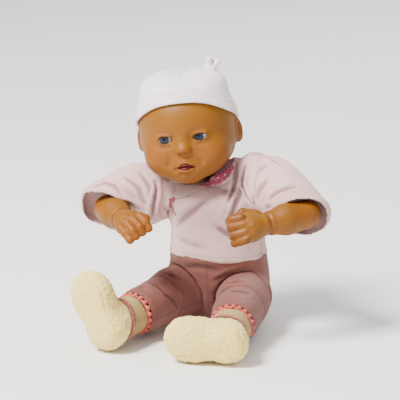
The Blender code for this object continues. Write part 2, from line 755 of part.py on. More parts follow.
def build_arm(look, world, side):
    shoulder, elbow, along, forward, hinge = arm_frames(side)
    upper = frame(f"shoulder_axis_{side}", Matrix.Translation(shoulder), world)
    lower = frame(f"elbow_axis_{side}", Matrix.Translation(elbow), upper)

    outer = arm_sections(side, 1.0, PUFF[side], SLEEVE_END, SLEEVE_SLANT)
    inner = arm_sections(side, 1 - CLOTH / SLEEVE_R, PUFF[side], SLEEVE_END, SLEEVE_SLANT)
    sleeve = hollow(outer, inner, closed_end=False)
    finish(f"sleeve_{side}", sleeve, look["knit_pink"], upper, in_world=True)

    shrink = ARM_CORE_R / SLEEVE_R
    core = arm_sections(side, shrink, SLEEVE_R, 0.0, 0.0)[:3]
    facing = 1 if side == "left" else -1
    across = (Z.cross(along) * facing).normalized()
    up = along.cross(across) * facing
    end = elbow - along * (ELBOW_R + 0.0120)
    core.append(oval(end, across, up, 0.0140, 0.0140, ROUND))
    finish(f"upper_arm_{side}", loft(core), look["body_cloth"], upper, in_world=True)

    # The hand lies palm down: its width is level, its thickness upright.
    width = forward.cross(Z).normalized()
    thick = width.cross(forward).normalized()
    sections = [elbow - forward * ELBOW_R]
    for step in (60, 30):
        turn = math.radians(step)
        centre = elbow - forward * (ELBOW_R * math.sin(turn))
        radius = ELBOW_R * math.cos(turn)
        sections.append(oval(centre, width, thick, radius, radius, 16))
    for distance, half_w, half_t in (
        (0.000, 0.0155, 0.0155),
        (0.020, 0.0165, 0.0160),
        (0.038, 0.0150, 0.0140),
        (0.049, 0.0125, 0.0115),
        (0.058, 0.0155, 0.0125),
        (0.070, 0.0185, 0.0140),
        (0.080, 0.0180, 0.0135),
        (0.087, 0.0130, 0.0095),
    ):
        sections.append(oval(elbow + forward * distance, width, thick, half_w, half_t, 16))
    sections.append(elbow + forward * 0.0900)
    hand = loft(sections)
    hand = finish(f"forearm_hand_{side}", hand, look["vinyl_skin"], lower, in_world=True)
    inward = -width if width.x * facing > 0 else width
    root = elbow + forward * 0.060 + inward * 0.010 + thick * 0.002
    tip = elbow + forward * 0.078 + inward * 0.0185 + thick * 0.004
    thumb = [root.lerp(tip, -0.1)]
    for share, radius in ((0.0, 0.0050), (0.5, 0.0055), (0.85, 0.0048)):
        thumb.append(oval(root.lerp(tip, share), forward, thick, radius, radius, 10))
    thumb.append(root.lerp(tip, 1.15))
    combine(hand, cutter(f"thumb_{side}", loft(thumb), lower, in_world=True), "UNION")


# ---------------------------------------------------------------- legs
def leg_frames(side):
    hip, ankle, toes = [Vector(p) for p in LEG_POINTS[side]]
    up_leg = (hip - ankle).normalized()
    toes = (toes - up_leg * toes.dot(up_leg)).normalized()
    lateral = (-toes).cross(up_leg)
    knee = hip - up_leg * THIGH
    return hip, knee, ankle, up_leg, toes, lateral


def foot_sections(grow):
    """Rings of the foot from the toes up to the shin, each moved outwards by grow."""
    sections = [Vector((0, TOE[0] - grow, TOE[1]))]
    for py, pz, qy, qz, half_w in FOOT:
        front, back = Vector((0, py, pz)), Vector((0, qy, qz))
        v = (front - back).normalized()
        half = (front - back).length / 2 + grow
        sections.append(oval((front + back) / 2, X, v, half_w + grow, half, FOOT_SIDES, 2.2))
    return sections


def build_leg(look, world, side):
    hip, knee, ankle, up_leg, toes, lateral = leg_frames(side)
    thigh = frame(f"hip_axis_{side}", Matrix.Translation(hip), world)
    level = Z.cross(up_leg).normalized()
    upright = up_leg.cross(level).normalized()
    down_leg = -up_leg

    core = [hip + up_leg * HIP_R]
    for step in (65, 40, 18):
        turn = math.radians(step)
        centre = hip + up_leg * (HIP_R * math.sin(turn))
        radius = HIP_R * math.cos(turn)
        core.append(oval(centre, level, upright, radius, radius, ROUND))
    for distance, radius in ((0.0, HIP_R), (0.030, 0.0245), (THIGH - KNEE_R - 0.002, THIGH_END_R)):
        core.append(oval(hip + down_leg * distance, level, upright, radius, radius, ROUND))
    finish(f"thigh_{side}", loft(core), look["body_cloth"], thigh, in_world=True)

    outer, inner = [], []
    for distance, radius in (
        (-0.0090, 0.0278),
        (0.0, TROUSER_R),
        (0.018, 0.0292),
        (0.034, 0.0280),
        (THIGH - KNEE_ROOM, 0.0262),
    ):
        centre = hip + down_leg * distance
        outer.append(oval(centre, level, upright, radius, radius, ROUND))
        inner.append(oval(centre, level, upright, radius - 0.0020, radius - 0.0020, ROUND))
    tube = hollow(outer, inner, closed_end=False)
    finish(f"trouser_thigh_{side}", tube, look["trouser_cloth"], thigh, in_world=True)

    knee_frame = frame(f"knee_axis_{side}", Matrix.Translation(knee), thigh)
    foot = frame(f"ankle_place_{side}", basis(ankle, lateral, -toes, up_leg), knee_frame)
    shin = (knee - ankle).length
    sections = foot_sections(0.0)
    sections.append(oval((0, 0, shin - 0.016), X, -Y, 0.0175, 0.0175, FOOT_SIDES, 2.2))
    for step in (0, 30, 60):
        turn = math.radians(step)
        radius = KNEE_R * math.cos(turn)
        centre = (0, 0, shin + KNEE_R * math.sin(turn))
        sections.append(oval(centre, X, -Y, radius, radius, FOOT_SIDES))
    sections.append(Vector((0, 0, shin + KNEE_R)))
    finish(f"lower_leg_{side}", loft(sections), look["vinyl_skin"], foot)

    outer, inner = [], []
    cuff = FOOT[-1][1] + SLIPPER_WALL + 0.0015
    for height, radius in ((cuff, 0.0235), (cuff + 0.004, 0.0245), (shin - KNEE_ROOM, 0.0255)):
        outer.append(oval((0, 0, height), X, Y, radius, radius, ROUND))
        inner.append(oval((0, 0, height), X, Y, radius - 0.0022, radius - 0.0022, ROUND))
    tube = hollow(outer, inner, closed_end=False)
    finish(f"trouser_shin_{side}", tube, look["trouser_cloth"], foot)

    outside, inside = [foot_sections(grow)[::-1] for grow in (SLIPPER_WALL, 0.0009)]
    slipper = hollow(outside, inside, closed_end=True)
    finish(f"slipper_{side}", slipper, look["plush_cream"], foot)

    rim = FOOT[-1][1] + 0.0006
    cuff_y = (FOOT[-1][0] + FOOT[-1][2]) / 2
    radius = (FOOT[-1][2] - FOOT[-1][0]) / 2
    outline = (
        (radius + 0.0014, rim),
        (radius + 0.0040, rim),
        (radius + 0.0044, rim + 0.0022),
        (radius + 0.0020, rim + 0.0036),
    )
    trim = ring_body(outline, (0, cuff_y, 0), Z, 18)
    finish(f"slipper_trim_{side}", trim, look["trim_coral"], foot)
    build_strap(look, foot, side)


def build_strap(look, foot, side):
    """A ribbon over the instep: the part of a slightly larger slipper between two planes."""
    inner, outer = [foot_sections(SLIPPER_WALL + grow)[3:8] for grow in (0.0010, 0.0022)]
    strap = hollow(outer, inner, closed_end=False)
    strap = finish(f"slipper_strap_{side}", strap, look["ribbon_red"], foot)
    keep = (
        ("front", ((-0.10, -0.10), (-0.0300, -0.10), (-0.0240, 0.10), (-0.10, 0.10))),
        ("back", ((-0.0180, -0.10), (0.10, -0.10), (0.10, 0.10), (-0.0120, 0.10))),
        ("sole", ((-0.10, -0.10), (0.10, -0.10), (0.10, -0.0180), (-0.10, -0.0180))),
    )
    for label, outline in keep:
        combine(strap, cutter(f"strap_{label}_{side}", extrude_outline(outline, -0.05, 0.05), foot))
    for label, low_x, high_x in (("lateral", STRAP_REACH, 0.05), ("medial", -0.05, -STRAP_REACH)):
        beyond = box((low_x, -0.05, -0.05), (high_x, 0.05, 0.05))
        combine(strap, cutter(f"strap_{label}_{side}", beyond, foot))


# ---------------------------------------------------------------- assembly
def build():
    clear_scene()
    look = looks()
    world = frame("doll", Matrix.Identity(4))
    head_turn = Matrix.Rotation(HEAD_YAW, 4, "Z") @ Matrix.Rotation(HEAD_ROLL, 4, "Y")
    pivot = HEAD_CENTRE - (head_turn @ Z) * NECK_TO_CENTRE
    neck = frame("neck_axis", Matrix.Translation(pivot) @ head_turn, world)
    head = frame("head_centre", Matrix.Translation(HEAD_CENTRE) @ head_turn, neck)
    module_matrix = Matrix.Translation(MODULE_CENTRE) @ Matrix.Rotation(MODULE_TILT, 4, "X")
    module = frame("module_place", module_matrix, world)

    build_torso(look, world, module, neck)
    build_module(look, module)
    build_belly_sensor(look, world)
    build_neck(look, world, neck)
    build_head(look, head)
    build_eyes(look, head)
    build_mouth(look, head)
    build_cap(look, head)
    for side in ("left", "right"):
        build_arm(look, world, side)
        build_leg(look, world, side)


build()
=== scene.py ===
import json
import math

import bmesh
import bpy
import numpy as np
from mathutils import Matrix, Vector, noise
from mathutils.bvhtree import BVHTree


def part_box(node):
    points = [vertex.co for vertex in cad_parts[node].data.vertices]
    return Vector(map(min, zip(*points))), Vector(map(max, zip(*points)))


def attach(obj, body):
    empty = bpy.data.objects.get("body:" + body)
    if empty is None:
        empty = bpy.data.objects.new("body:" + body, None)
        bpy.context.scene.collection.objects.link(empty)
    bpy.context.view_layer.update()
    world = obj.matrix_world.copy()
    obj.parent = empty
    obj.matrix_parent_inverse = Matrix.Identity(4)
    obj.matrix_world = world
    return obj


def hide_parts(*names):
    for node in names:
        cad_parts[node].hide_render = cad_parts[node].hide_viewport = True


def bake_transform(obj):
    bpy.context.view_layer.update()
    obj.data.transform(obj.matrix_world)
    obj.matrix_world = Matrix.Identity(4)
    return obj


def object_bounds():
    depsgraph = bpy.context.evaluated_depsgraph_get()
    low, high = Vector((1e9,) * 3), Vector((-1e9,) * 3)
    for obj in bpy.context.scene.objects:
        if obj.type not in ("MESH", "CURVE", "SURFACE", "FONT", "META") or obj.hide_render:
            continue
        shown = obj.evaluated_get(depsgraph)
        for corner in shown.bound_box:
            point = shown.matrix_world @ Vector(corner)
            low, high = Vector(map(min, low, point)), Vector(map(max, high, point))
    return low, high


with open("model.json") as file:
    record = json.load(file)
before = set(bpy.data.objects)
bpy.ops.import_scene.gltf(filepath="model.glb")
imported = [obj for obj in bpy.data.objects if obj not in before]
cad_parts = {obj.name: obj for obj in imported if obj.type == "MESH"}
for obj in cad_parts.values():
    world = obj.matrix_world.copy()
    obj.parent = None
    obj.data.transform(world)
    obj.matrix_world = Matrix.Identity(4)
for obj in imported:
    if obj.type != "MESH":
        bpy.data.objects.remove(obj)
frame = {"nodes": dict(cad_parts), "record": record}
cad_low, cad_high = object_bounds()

MM = 0.001
CLOTH_CELL = 3.0  # millimetres
RECORD = frame["record"]
JOINTS = {joint["name"]: joint for joint in RECORD["behaviour"]["joints"]}
SIDES = (("left", 1), ("right", -1))
X, Y, Z = Vector((1, 0, 0)), Vector((0, 1, 0)), Vector((0, 0, 1))


# ---------------------------------------------------------------- signed-distance modelling
class Grid:
    """Points of a box, in millimetres, as three arrays that broadcast against each other."""

    def __init__(self, low, high, cell):
        self.low, self.cell = np.array(low, np.float32), cell
        axes = [np.arange(l, h + cell, cell, dtype=np.float32) for l, h in zip(low, high)]
        self.x, self.y, self.z = np.meshgrid(*axes, indexing="ij", sparse=True)

    def point(self):
        return self.x, self.y, self.z


def ellipsoid(p, centre, radii):
    q = [(a - c) for a, c in zip(p, centre)]
    k0 = np.sqrt(sum((a / r) ** 2 for a, r in zip(q, radii)))
    k1 = np.sqrt(sum((a / (r * r)) ** 2 for a, r in zip(q, radii))) + 1e-6
    return k0 * (k0 - 1) / k1


def limb(p, a, b, ra, rb):
    """A round bar from a to b whose radius runs from ra to rb."""
    ab = [v - u for u, v in zip(a, b)]
    length2 = sum(v * v for v in ab)
    t = np.clip(sum((q - u) * v for q, u, v in zip(p, a, ab)) / length2, 0, 1)
    gap2 = sum((q - u - t * v) ** 2 for q, u, v in zip(p, a, ab))
    return np.sqrt(gap2) - (ra + (rb - ra) * t)


def join(a, b, soft):
    h = np.clip(0.5 + 0.5 * (b - a) / soft, 0, 1)
    return b + (a - b) * h - soft * h * (1 - h)


def carve(a, b, soft):
    return -join(-a, b, soft)


def model(d, p, *forms):
    """Adds to a field ellipsoids (softness, centre, radii) and bars (softness, a, b, ra, rb).

    A negative softness carves the form away instead.
    """
    for soft, *form in forms:
        shape = ellipsoid(p, *form) if len(form) == 2 else limb(p, *form)
        d = join(d, shape, soft) if soft > 0 else carve(d, shape, -soft)
    return d


def turned_point(p, centre, matrix):
    """Coordinates about a centre in the axes that are the rows of matrix."""
    q = [a - c for a, c in zip(p, centre)]
    return tuple(sum(q[k] * float(row[k]) for k in range(3)) for row in matrix)


def surface(grid, values):
    """Surface nets: one vertex in each cell that the zero level crosses, in millimetres."""
    inside = values < 0
    n0, n1, n2 = values.shape
    offsets = np.array([(i, j, k) for i in (0, 1) for j in (0, 1) for k in (0, 1)])
    count = np.zeros((n0 - 1, n1 - 1, n2 - 1), np.uint8)
    for i, j, k in offsets:
        count += inside[i : n0 - 1 + i, j : n1 - 1 + j, k : n2 - 1 + k]
    cells = np.argwhere((count > 0) & (count < 8))
    index = np.full(count.shape, -1, np.int32)
    index[tuple(cells.T)] = np.arange(len(cells))
    around = cells[:, None, :] + offsets[None, :, :]
    samples = values[around[..., 0], around[..., 1], around[..., 2]]
    total = np.zeros((len(cells), 3))
    hits = np.zeros(len(cells))
    for a in range(8):
        for b in range(a + 1, 8):
            if np.abs(offsets[a] - offsets[b]).sum() != 1:
                continue
            va, vb = samples[:, a], samples[:, b]
            cross = (va < 0) != (vb < 0)
            share = np.where(cross, va / np.where(cross, va - vb, 1), 0)
            total += (offsets[a] + share[:, None] * (offsets[b] - offsets[a])) * cross[:, None]
            hits += cross
    points = grid.low + grid.cell * (cells + total / hits[:, None])
    quads = []
    for axis in range(3):
        u, v = (axis + 1) % 3, (axis + 2) % 3
        first = [slice(1, -1)] * 3
        second = [slice(1, -1)] * 3
        first[axis], second[axis] = slice(0, -1), slice(1, None)
        here, there = inside[tuple(first)], inside[tuple(second)]
        for edges, flip in ((here & ~there, False), (~here & there, True)):
            at = np.argwhere(edges)
            at[:, u] += 1
            at[:, v] += 1
            corners = []
            for du, dv in ((0, 0), (-1, 0), (-1, -1), (0, -1)):
                cell = at.copy()
                cell[:, u] += du
                cell[:, v] += dv
                corners.append(index[tuple(cell.T)])
            face = np.stack(corners[::-1] if flip else corners, axis=1)
            quads.append(face[(face >= 0).all(axis=1)])
    return points, np.concatenate(quads)


def neighbour_mean(points, edges):
    """Mean of each point's neighbours along the edges."""
    degree = np.bincount(edges.ravel(), minlength=len(points))
    total = np.zeros_like(points)
    for axis in range(3):
        total[:, axis] = np.bincount(edges[:, 0], points[edges[:, 1], axis], len(points))
        total[:, axis] += np.bincount(edges[:, 1], points[edges[:, 0], axis], len(points))
    return total / np.maximum(degree, 1)[:, None]


def relax(points, quads, rounds):
    """Moves each vertex halfway to the mean of its neighbours."""
    edges = np.concatenate([quads[:, [k, (k + 1) % 4]] for k in range(4)])
    for _ in range(rounds):
        points = points + 0.5 * (neighbour_mean(points, edges) - points)
    return points


def assign(thing, **values):
    for name, value in values.items():
        setattr(thing, name, value)
    return thing


def add_object(name, data):
    obj = bpy.data.objects.new(name, data)
    bpy.context.scene.collection.objects.link(obj)
    return obj


def add_mesh(name, points, faces, look):
    """A shaded object from points in metres."""
    mesh = bpy.data.meshes.new(name)
    mesh.from_pydata(np.asarray(points, float).tolist(), [], [list(map(int, f)) for f in faces])
    mesh.shade_smooth()
    mesh.materials.append(look)
    return add_object(name, mesh)


def placed(points, place):
    """The points carried by a matrix."""
    m = np.array(place)
    return points @ m[:3, :3].T + m[:3, 3]


def local(points, place):
    return placed(points, place.inverted())


def sculpt(name, grid, values, look, place=None, rounds=2):
    """The field's surface as an object; place is the matrix from its own axes to the row frame."""
    points, quads = surface(grid, values)
    points = relax(points, quads, rounds) * MM
    return add_mesh(name, points if place is None else placed(points, place), quads, look)


def vectors(collection, name, count):
    flat = np.empty(count * 3)
    collection.foreach_get(name, flat)
    return flat.reshape(-1, 3)


def positions(obj):
    return vectors(obj.data.vertices, "co", len(obj.data.vertices))


def normals(obj):
    return vectors(obj.data.vertex_normals, "vector", len(obj.data.vertices))


def move_to(obj, points):
    obj.data.vertices.foreach_set("co", np.asarray(points, np.float64).ravel())
    obj.data.update()


def push(obj, amount):
    """Moves each vertex along its normal by an amount in metres."""
    move_to(obj, positions(obj) + normals(obj) * amount[:, None])


def paint(obj, name, values):
    """A number at each vertex, for the materials to read."""
    attribute = obj.data.attributes.new(name, "FLOAT", "POINT")
    attribute.data.foreach_set("value", np.asarray(values, np.float32))


def soft_step(values, low, high):
    t = np.clip((values - low) / (high - low), 0, 1)
    return t * t * (3 - 2 * t)


def bell(values, width):
    """1 where values are zero, falling to nothing over a few widths on both sides."""
    return np.exp(-((values / width) ** 2))


def ripple(points, scale, seed):
    """Smooth noise at points in metres, about -0.5 to 0.5."""
    shift = Vector((seed, 1.7 * seed, -seed))
    return np.array([noise.noise(Vector(p) * scale + shift) for p in points])


def curls(points, scale, seed):
    """Distance to the nearest of scattered points: the lumps of a curly pile, 0 to about 1."""
    shift = Vector((seed, 1.7 * seed, -seed))
    return np.array([noise.voronoi(Vector(p) * scale + shift)[0][0] for p in points])


def milestones(path):
    """How far along a polyline each of its points lies."""
    return np.concatenate([[0], np.cumsum(np.linalg.norm(np.diff(path, axis=0), axis=1))])


def even_path(path, step):
    """The polyline's points every step millimetres."""
    path = np.array(path, float)
    before = milestones(path)
    stops = np.arange(0, before[-1], step)
    return np.stack([np.interp(stops, before, path[:, k]) for k in range(3)], axis=1)


def near_path(points, path):
    """Distance of each point from a polyline, and how far along it the nearest point lies."""
    best = np.full(len(points), 1e9)
    along = np.zeros(len(points))
    before = milestones(path)
    for i, (a, b) in enumerate(zip(path, path[1:])):
        ab = b - a
        t = np.clip((points - a) @ ab / max(ab @ ab, 1e-12), 0, 1)
        gap = np.linalg.norm(points - a - t[:, None] * ab, axis=1)
        closer = gap < best
        best[closer] = gap[closer]
        along[closer] = (before[i] + t * (before[i + 1] - before[i]))[closer] / before[-1]
    return best, along


def crease(obj, path, width, depth, ridge=0.5):
    """A fold along a polyline (mm): a valley of that depth with a rise on both sides of it."""
    gap, along = near_path(positions(obj), np.array(path) * MM)
    width = width * MM
    fade = np.sin(np.pi * np.clip(along, 0.04, 0.96)) ** 0.6
    valley = bell(gap, width)
    rise = ridge * bell(gap - 2.0 * width, 1.1 * width)
    push(obj, (rise - valley) * (depth * MM) * fade)
    return valley * fade


def puff(obj, pressure, limit, pinned, frames=20):
    """Cloth under pressure: the closed piece swells, by at most limit, where it isn't pinned."""
    group = obj.vertex_groups.new(name="pins")
    group.add([int(i) for i in np.flatnonzero(pinned)], 1.0, "REPLACE")
    start = positions(obj)
    cloth = obj.modifiers.new("swell", "CLOTH")
    stiffness = dict(tension_stiffness=12, compression_stiffness=12, shear_stiffness=6, bending_stiffness=0.6)
    assign(cloth.settings, quality=6, mass=0.15, vertex_group_mass="pins", **stiffness)
    assign(cloth.settings, use_pressure=True, uniform_pressure_force=pressure)
    cloth.settings.effector_weights.gravity = 0.0
    cloth.collision_settings.use_collision = False
    assign(cloth.point_cache, frame_start=1, frame_end=frames)
    for step in range(1, frames + 1):
        bpy.context.scene.frame_set(step)
    shaped = obj.evaluated_get(bpy.context.evaluated_depsgraph_get())
    moved = positions(shaped) - start
    obj.modifiers.remove(cloth)
    obj.vertex_groups.remove(group)
    bpy.context.scene.frame_set(1)
    far = np.linalg.norm(moved, axis=1)
    share = np.minimum(1, limit * MM / np.maximum(far, 1e-9))
    move_to(obj, start + moved * share[:, None])


def modify(obj, kind, **settings):
    """Adds one modifier and applies it."""
    assign(obj.modifiers.new("shape", kind), **settings)
    shaped = obj.evaluated_get(bpy.context.evaluated_depsgraph_get())
    mesh = bpy.data.meshes.new_from_object(shaped)
    old = obj.data
    obj.modifiers.clear()
    obj.data = mesh
    bpy.data.meshes.remove(old)
    mesh.name = obj.name
    mesh.shade_smooth()


def open_end(obj, beyond):
    """Removes the faces whose vertices all satisfy beyond."""
    gone = set(np.flatnonzero(beyond).tolist())
    bm = bmesh.new()
    bm.from_mesh(obj.data)
    bm.verts.ensure_lookup_table()
    faces = [f for f in bm.faces if all(v.index in gone for v in f.verts)]
    bmesh.ops.delete(bm, geom=faces, context="FACES")
    bm.to_mesh(obj.data)
    bm.free()


def thicken(obj, thickness):
    modify(obj, "SOLIDIFY", thickness=thickness * MM, offset=-1, use_rim=True)


def hand_over(piece, body, slot, *replaced, fill=None):
    """What a finished piece rides on, and the CAD nodes it stands for; its slot and its padding are not used.
    """
    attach(piece, body)
    if replaced:
        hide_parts(*replaced)


# ---------------------------------------------------------------- places, from the record
def joint_at(name):
    joint = JOINTS[name]
    return Vector(joint["pos_m"]), Vector(joint["axis"])


def axes_matrix(origin, x_axis, y_axis, z_axis):
    axes = Matrix((x_axis, y_axis, z_axis)).transposed().to_4x4()
    return Matrix.Translation(origin) @ axes


NECK_TO_CENTRE = 0.072  # from the neck's ball up to the head's middle
pivot, head_up = joint_at("neck_turn")
head_side = joint_at("neck_nod")[1]
HEAD = axes_matrix(pivot + head_up * NECK_TO_CENTRE, head_side, head_up.cross(head_side), head_up)


# ---------------------------------------------------------------- materials
class Look:
    """A node material in the object's own coordinates, built around one Principled shader."""

    def __init__(self, name, roughness, **settings):
        self.material = bpy.data.materials.new(name)
        self.material.use_nodes = True
        self.tree = self.material.node_tree
        self.shader = self.tree.nodes["Principled BSDF"]
        self.coords = self.tree.nodes.new("ShaderNodeTexCoord").outputs["Object"]
        for key, value in dict(settings, Roughness=roughness).items():
            self.set(key.replace("_", " "), value)

    def feed(self, socket, value):
        if isinstance(value, bpy.types.NodeSocket):
            self.tree.links.new(value, socket)
        else:
            socket.default_value = value

    def set(self, name, value):
        """Gives one of the shader's inputs a value or a socket."""
        self.feed(self.shader.inputs[name], value)
        return self

    def node(self, kind, inputs, **settings):
        made = assign(self.tree.nodes.new(kind), **settings)
        for name, value in inputs.items():
            self.feed(made.inputs[name], value)
        return made.outputs

    def noise(self, scale, detail=3.0, rough=0.55):
        inputs = {"Vector": self.coords, "Scale": scale, "Detail": detail, "Roughness": rough}
        return self.node("ShaderNodeTexNoise", inputs)["Fac"]

    def cells(self, scale):
        return self.node("ShaderNodeTexVoronoi", {"Vector": self.coords, "Scale": scale})["Distance"]

    def painted(self, name):
        return self.node("ShaderNodeAttribute", {}, attribute_name=name)["Fac"]

    def maths(self, operation, *values):
        return self.node("ShaderNodeMath", dict(enumerate(values)), operation=operation)[0]

    def plus(self, a, b, times=None):
        """a + b, or a + b * times."""
        return self.maths("ADD", a, b if times is None else self.maths("MULTIPLY", b, times))

    def wave(self, value, rate):
        return self.maths("SINE", self.maths("MULTIPLY", value, rate))

    def over(self, value, limit):
        return self.maths("GREATER_THAN", value, limit)

    def spread(self, value, low, high, to_low=0.0, to_high=1.0):
        return self.node("ShaderNodeMapRange", dict(enumerate((value, low, high, to_low, to_high))))[0]

    def mix(self, share, a, b):
        made = self.tree.nodes.new("ShaderNodeMix")
        made.data_type = "RGBA"
        for name, value in (("Factor_Float", share), ("A_Color", a), ("B_Color", b)):
            socket = next(s for s in made.inputs if s.identifier == name)
            self.feed(socket, (*value, 1.0) if isinstance(value, tuple) else value)
        return next(s for s in made.outputs if s.identifier == "Result_Color")

    def mottle(self, scale, detail, a, b, low=0.3, high=0.7):
        """Two colours, or two sockets, mixed by noise."""
        return self.mix(self.spread(self.noise(scale, detail), low, high), a, b)

    def relief(self, height, distance, strength=1.0):
        inputs = {"Distance": distance, "Strength": strength, "Height": height}
        self.set("Normal", self.node("ShaderNodeBump", inputs)["Normal"])
        return self.material


def darker(colour, share):
    return tuple(c * share for c in colour)


def vinyl(name, base, blush, deep):
    look = Look(name, 0.5, Subsurface_Weight=0.05, Subsurface_Scale=0.004, Specular_IOR_Level=0.28)
    look.set("Subsurface Radius", (1.0, 0.45, 0.25))
    warm = look.mix(look.painted("blush"), look.mottle(60, 4, base, darker(base, 0.93), 0.35), blush)
    look.set("Base Color", look.mix(look.painted("shade"), warm, deep))
    look.set("Roughness", look.spread(look.noise(180, 3), 0.3, 0.7, 0.44, 0.58))
    return look.relief(look.plus(look.noise(1500, 2), look.noise(350, 3), 0.6), 0.00016, 0.35)


def jersey(look, light, dark, gauge):
    """Columns of V stitches along the painted wale and course: their colour and height."""
    across = look.maths("DIVIDE", look.painted("wale"), gauge)
    along = look.maths("DIVIDE", look.painted("course"), gauge * 0.8)
    column = look.maths("ABSOLUTE", look.wave(across, math.pi))
    stitch = look.wave(look.plus(along, look.maths("PINGPONG", across, 0.5)), 2 * math.pi)
    height = look.plus(look.plus(column, stitch, 0.25), look.noise(900, 4), 0.6)
    shaded = look.mix(look.spread(height, 0.0, 1.3), dark, light)
    return look.mix(look.spread(look.noise(45, 3), 0.3, 0.75, 0.0, 0.45), shaded, dark), height


def knit(name, light, dark, gauge=0.0015, relief=0.0003):
    look = Look(name, 0.88, Sheen_Weight=0.25, Sheen_Roughness=0.5)
    colour, height = jersey(look, light, dark, gauge)
    look.set("Base Color", look.mix(look.painted("shade"), colour, darker(dark, 0.62)))
    return look.relief(height, relief, 0.8)


def trimmed_knit(name, light, dark, rib_dark, facing, flower):
    """The top's jersey, with its ribbed neckband and the printed facing inside the neck."""
    look = Look(name, 0.88, Sheen_Weight=0.25, Sheen_Roughness=0.5)
    colour, height = jersey(look, light, dark, 0.0015)
    band = look.painted("band")
    rib = look.wave(look.painted("rib"), 2 * math.pi / 0.0024)
    colour = look.mix(band, colour, look.mix(look.spread(rib, -0.9, 0.4), rib_dark, light))
    height = look.plus(height, look.maths("MULTIPLY", rib, band), 1.6)
    printed = look.mix(look.spread(look.cells(260), 0.25, 0.32), flower, facing)
    colour = look.mix(look.painted("facing"), colour, printed)
    look.set("Base Color", look.mix(look.painted("shade"), colour, darker(dark, 0.36)))
    return look.relief(height, 0.0003, 0.8)


def brushed(name, light, dark, thread=0.0011):
    """Brushed cotton: a fine twill under a soft nap."""
    look = Look(name, 0.92, Sheen_Weight=0.15, Sheen_Roughness=0.6, Specular_IOR_Level=0.2)
    across = look.maths("DIVIDE", look.painted("wale"), thread)
    along = look.maths("DIVIDE", look.painted("course"), thread)
    twill = look.wave(look.plus(across, along), math.pi)
    height = look.plus(twill, look.wave(along, 2 * math.pi), 0.4)
    height = look.plus(height, look.noise(700, 5), 2.0)
    # Painted shade darkens the threads in the weave's low places; random darker patches lie over that
    shaded = look.mix(look.spread(height, -0.3, 2.2), dark, light)
    shaded_and_mottled = look.mix(look.spread(look.noise(38, 4), 0.35, 0.7, 0.0, 0.5), shaded, dark)
    look.set("Base Color", look.mix(look.painted("shade"), shaded_and_mottled, darker(dark, 0.5)))
    return look.relief(height, 0.00022, 0.7)


def plush(name, light, dark, shaded_cuff):
    """Curly pile: the lumps are in the mesh, the strands in the relief; painted shade darkens the hollows
    between the lumps, and the shaft's darker khaki is partly painted shadow.
    """
    look = Look(name, 0.95, Sheen_Weight=0.15, Sheen_Roughness=0.7, Specular_IOR_Level=0.2)
    strands = look.plus(look.noise(1100, 5, 0.7), look.cells(700))
    shaded = look.mix(look.spread(look.painted("curl"), 0.15, 0.75), light, dark)
    fine = look.mix(look.spread(strands, 0.5, 1.3, 0.0, 0.35), shaded, dark)
    look.set("Base Color", look.mix(look.painted("shaded_cuff"), fine, shaded_cuff))
    return look.relief(strands, 0.0007, 0.8)


def yarn(name, light, dark, scale=1200):
    look = Look(name, 0.85, Sheen_Weight=0.3)
    inputs = {"Vector": look.coords, "Scale": scale / 4, "Distortion": 3.0}
    twist = look.node("ShaderNodeTexWave", inputs, bands_direction="DIAGONAL")["Fac"]
    height = look.plus(twist, look.noise(scale, 3))
    look.set("Base Color", look.mix(look.spread(height, 0.4, 1.5), dark, light))
    return look.relief(height, 0.0003, 0.8)


def moulded(name, base, roughness, metallic):
    """Moulded or plated parts: slight unevenness of colour, gloss and surface."""
    look = Look(name, roughness, Metallic=metallic)
    look.set("Base Color", look.mottle(70, 4, base, darker(base, 0.86)))
    gloss = look.spread(look.noise(260, 4), 0.3, 0.7, roughness * 0.85, min(1.0, roughness * 1.2))
    return look.set("Roughness", gloss).relief(look.noise(900, 3), 0.00012, 0.4)


# ---------------------------------------------------------------- head, in its own axes (mm)
EYE_X, EYE_Y, EYE_Z, EYE_R = 18.8, -41.2, -8.5, 8.5
MOUTH_Z = -38.0
LID_WIDTH = 7.6  # half the eye's opening
EAR = (52.0, 5.0, -15.0)
# Skin vinyl: mottled tone, painted blush, and painted shade in the hollows of the face and hands
SKIN = vinyl("vinyl_skin_painted_shade", (0.205, 0.073, 0.001), (0.235, 0.060, 0.002), (0.05, 0.011, 0.001))


def skull(p):
    """The head without its features: what the cap is stretched over."""
    head = ellipsoid(p, (0, 1.5, 1.0), (52.0, 54.5, 52.0))
    jaw = ellipsoid(p, (0, -5.0, -27.0), (48.5, 47.5, 31.5))
    return join(head, jaw, 14.0)


def bare_head(p):
    """Skull with cheeks, jaw and chin: what the top's neckline keeps clear of."""
    return model(
        skull(p),
        (np.abs(p[0]), p[1], p[2]),
        (9.0, (25.5, -31.0, -30.0), (19.0, 19.5, 18.5)),
        (9.0, (0, -33.0, -42.0), (31.0, 20.0, 15.5)),
        (7.0, (0, -38.5, -49.5), (15.0, 13.0, 9.5)),
    )


def past_lids(x, z, widest):
    """How far a point is above the upper lid's edge, and below the lower one's."""
    across = np.minimum(np.abs(x - EYE_X) / LID_WIDTH, widest)
    height = z - EYE_Z - 0.05 * (x - EYE_X)
    return height - 3.5 * (1 - across**2.4), -height - 3.4 * (1 - across**2.2)


def ear_field(q):
    lean = Matrix.Rotation(math.radians(-14), 3, "X") @ Matrix.Rotation(math.radians(22), 3, "Z")
    e = turned_point(q, EAR, lean)
    return model(
        ellipsoid(e, (0, 0, 0), (4.7, 9.6, 14.6)),
        e,
        (2.5, (-1.0, 1.0, -9.5), (3.6, 5.0, 4.6)),
        (-1.6, (5.2, -0.6, 1.8), (4.2, 5.6, 8.6)),
        (1.4, (1.6, -5.4, -3.5), (2.4, -3.6, 2.5), 1.5, 1.2),
        (1.6, (1.9, 2.8, -4.0), (2.2, 3.2, 5.5), 1.1, 1.0),
    )


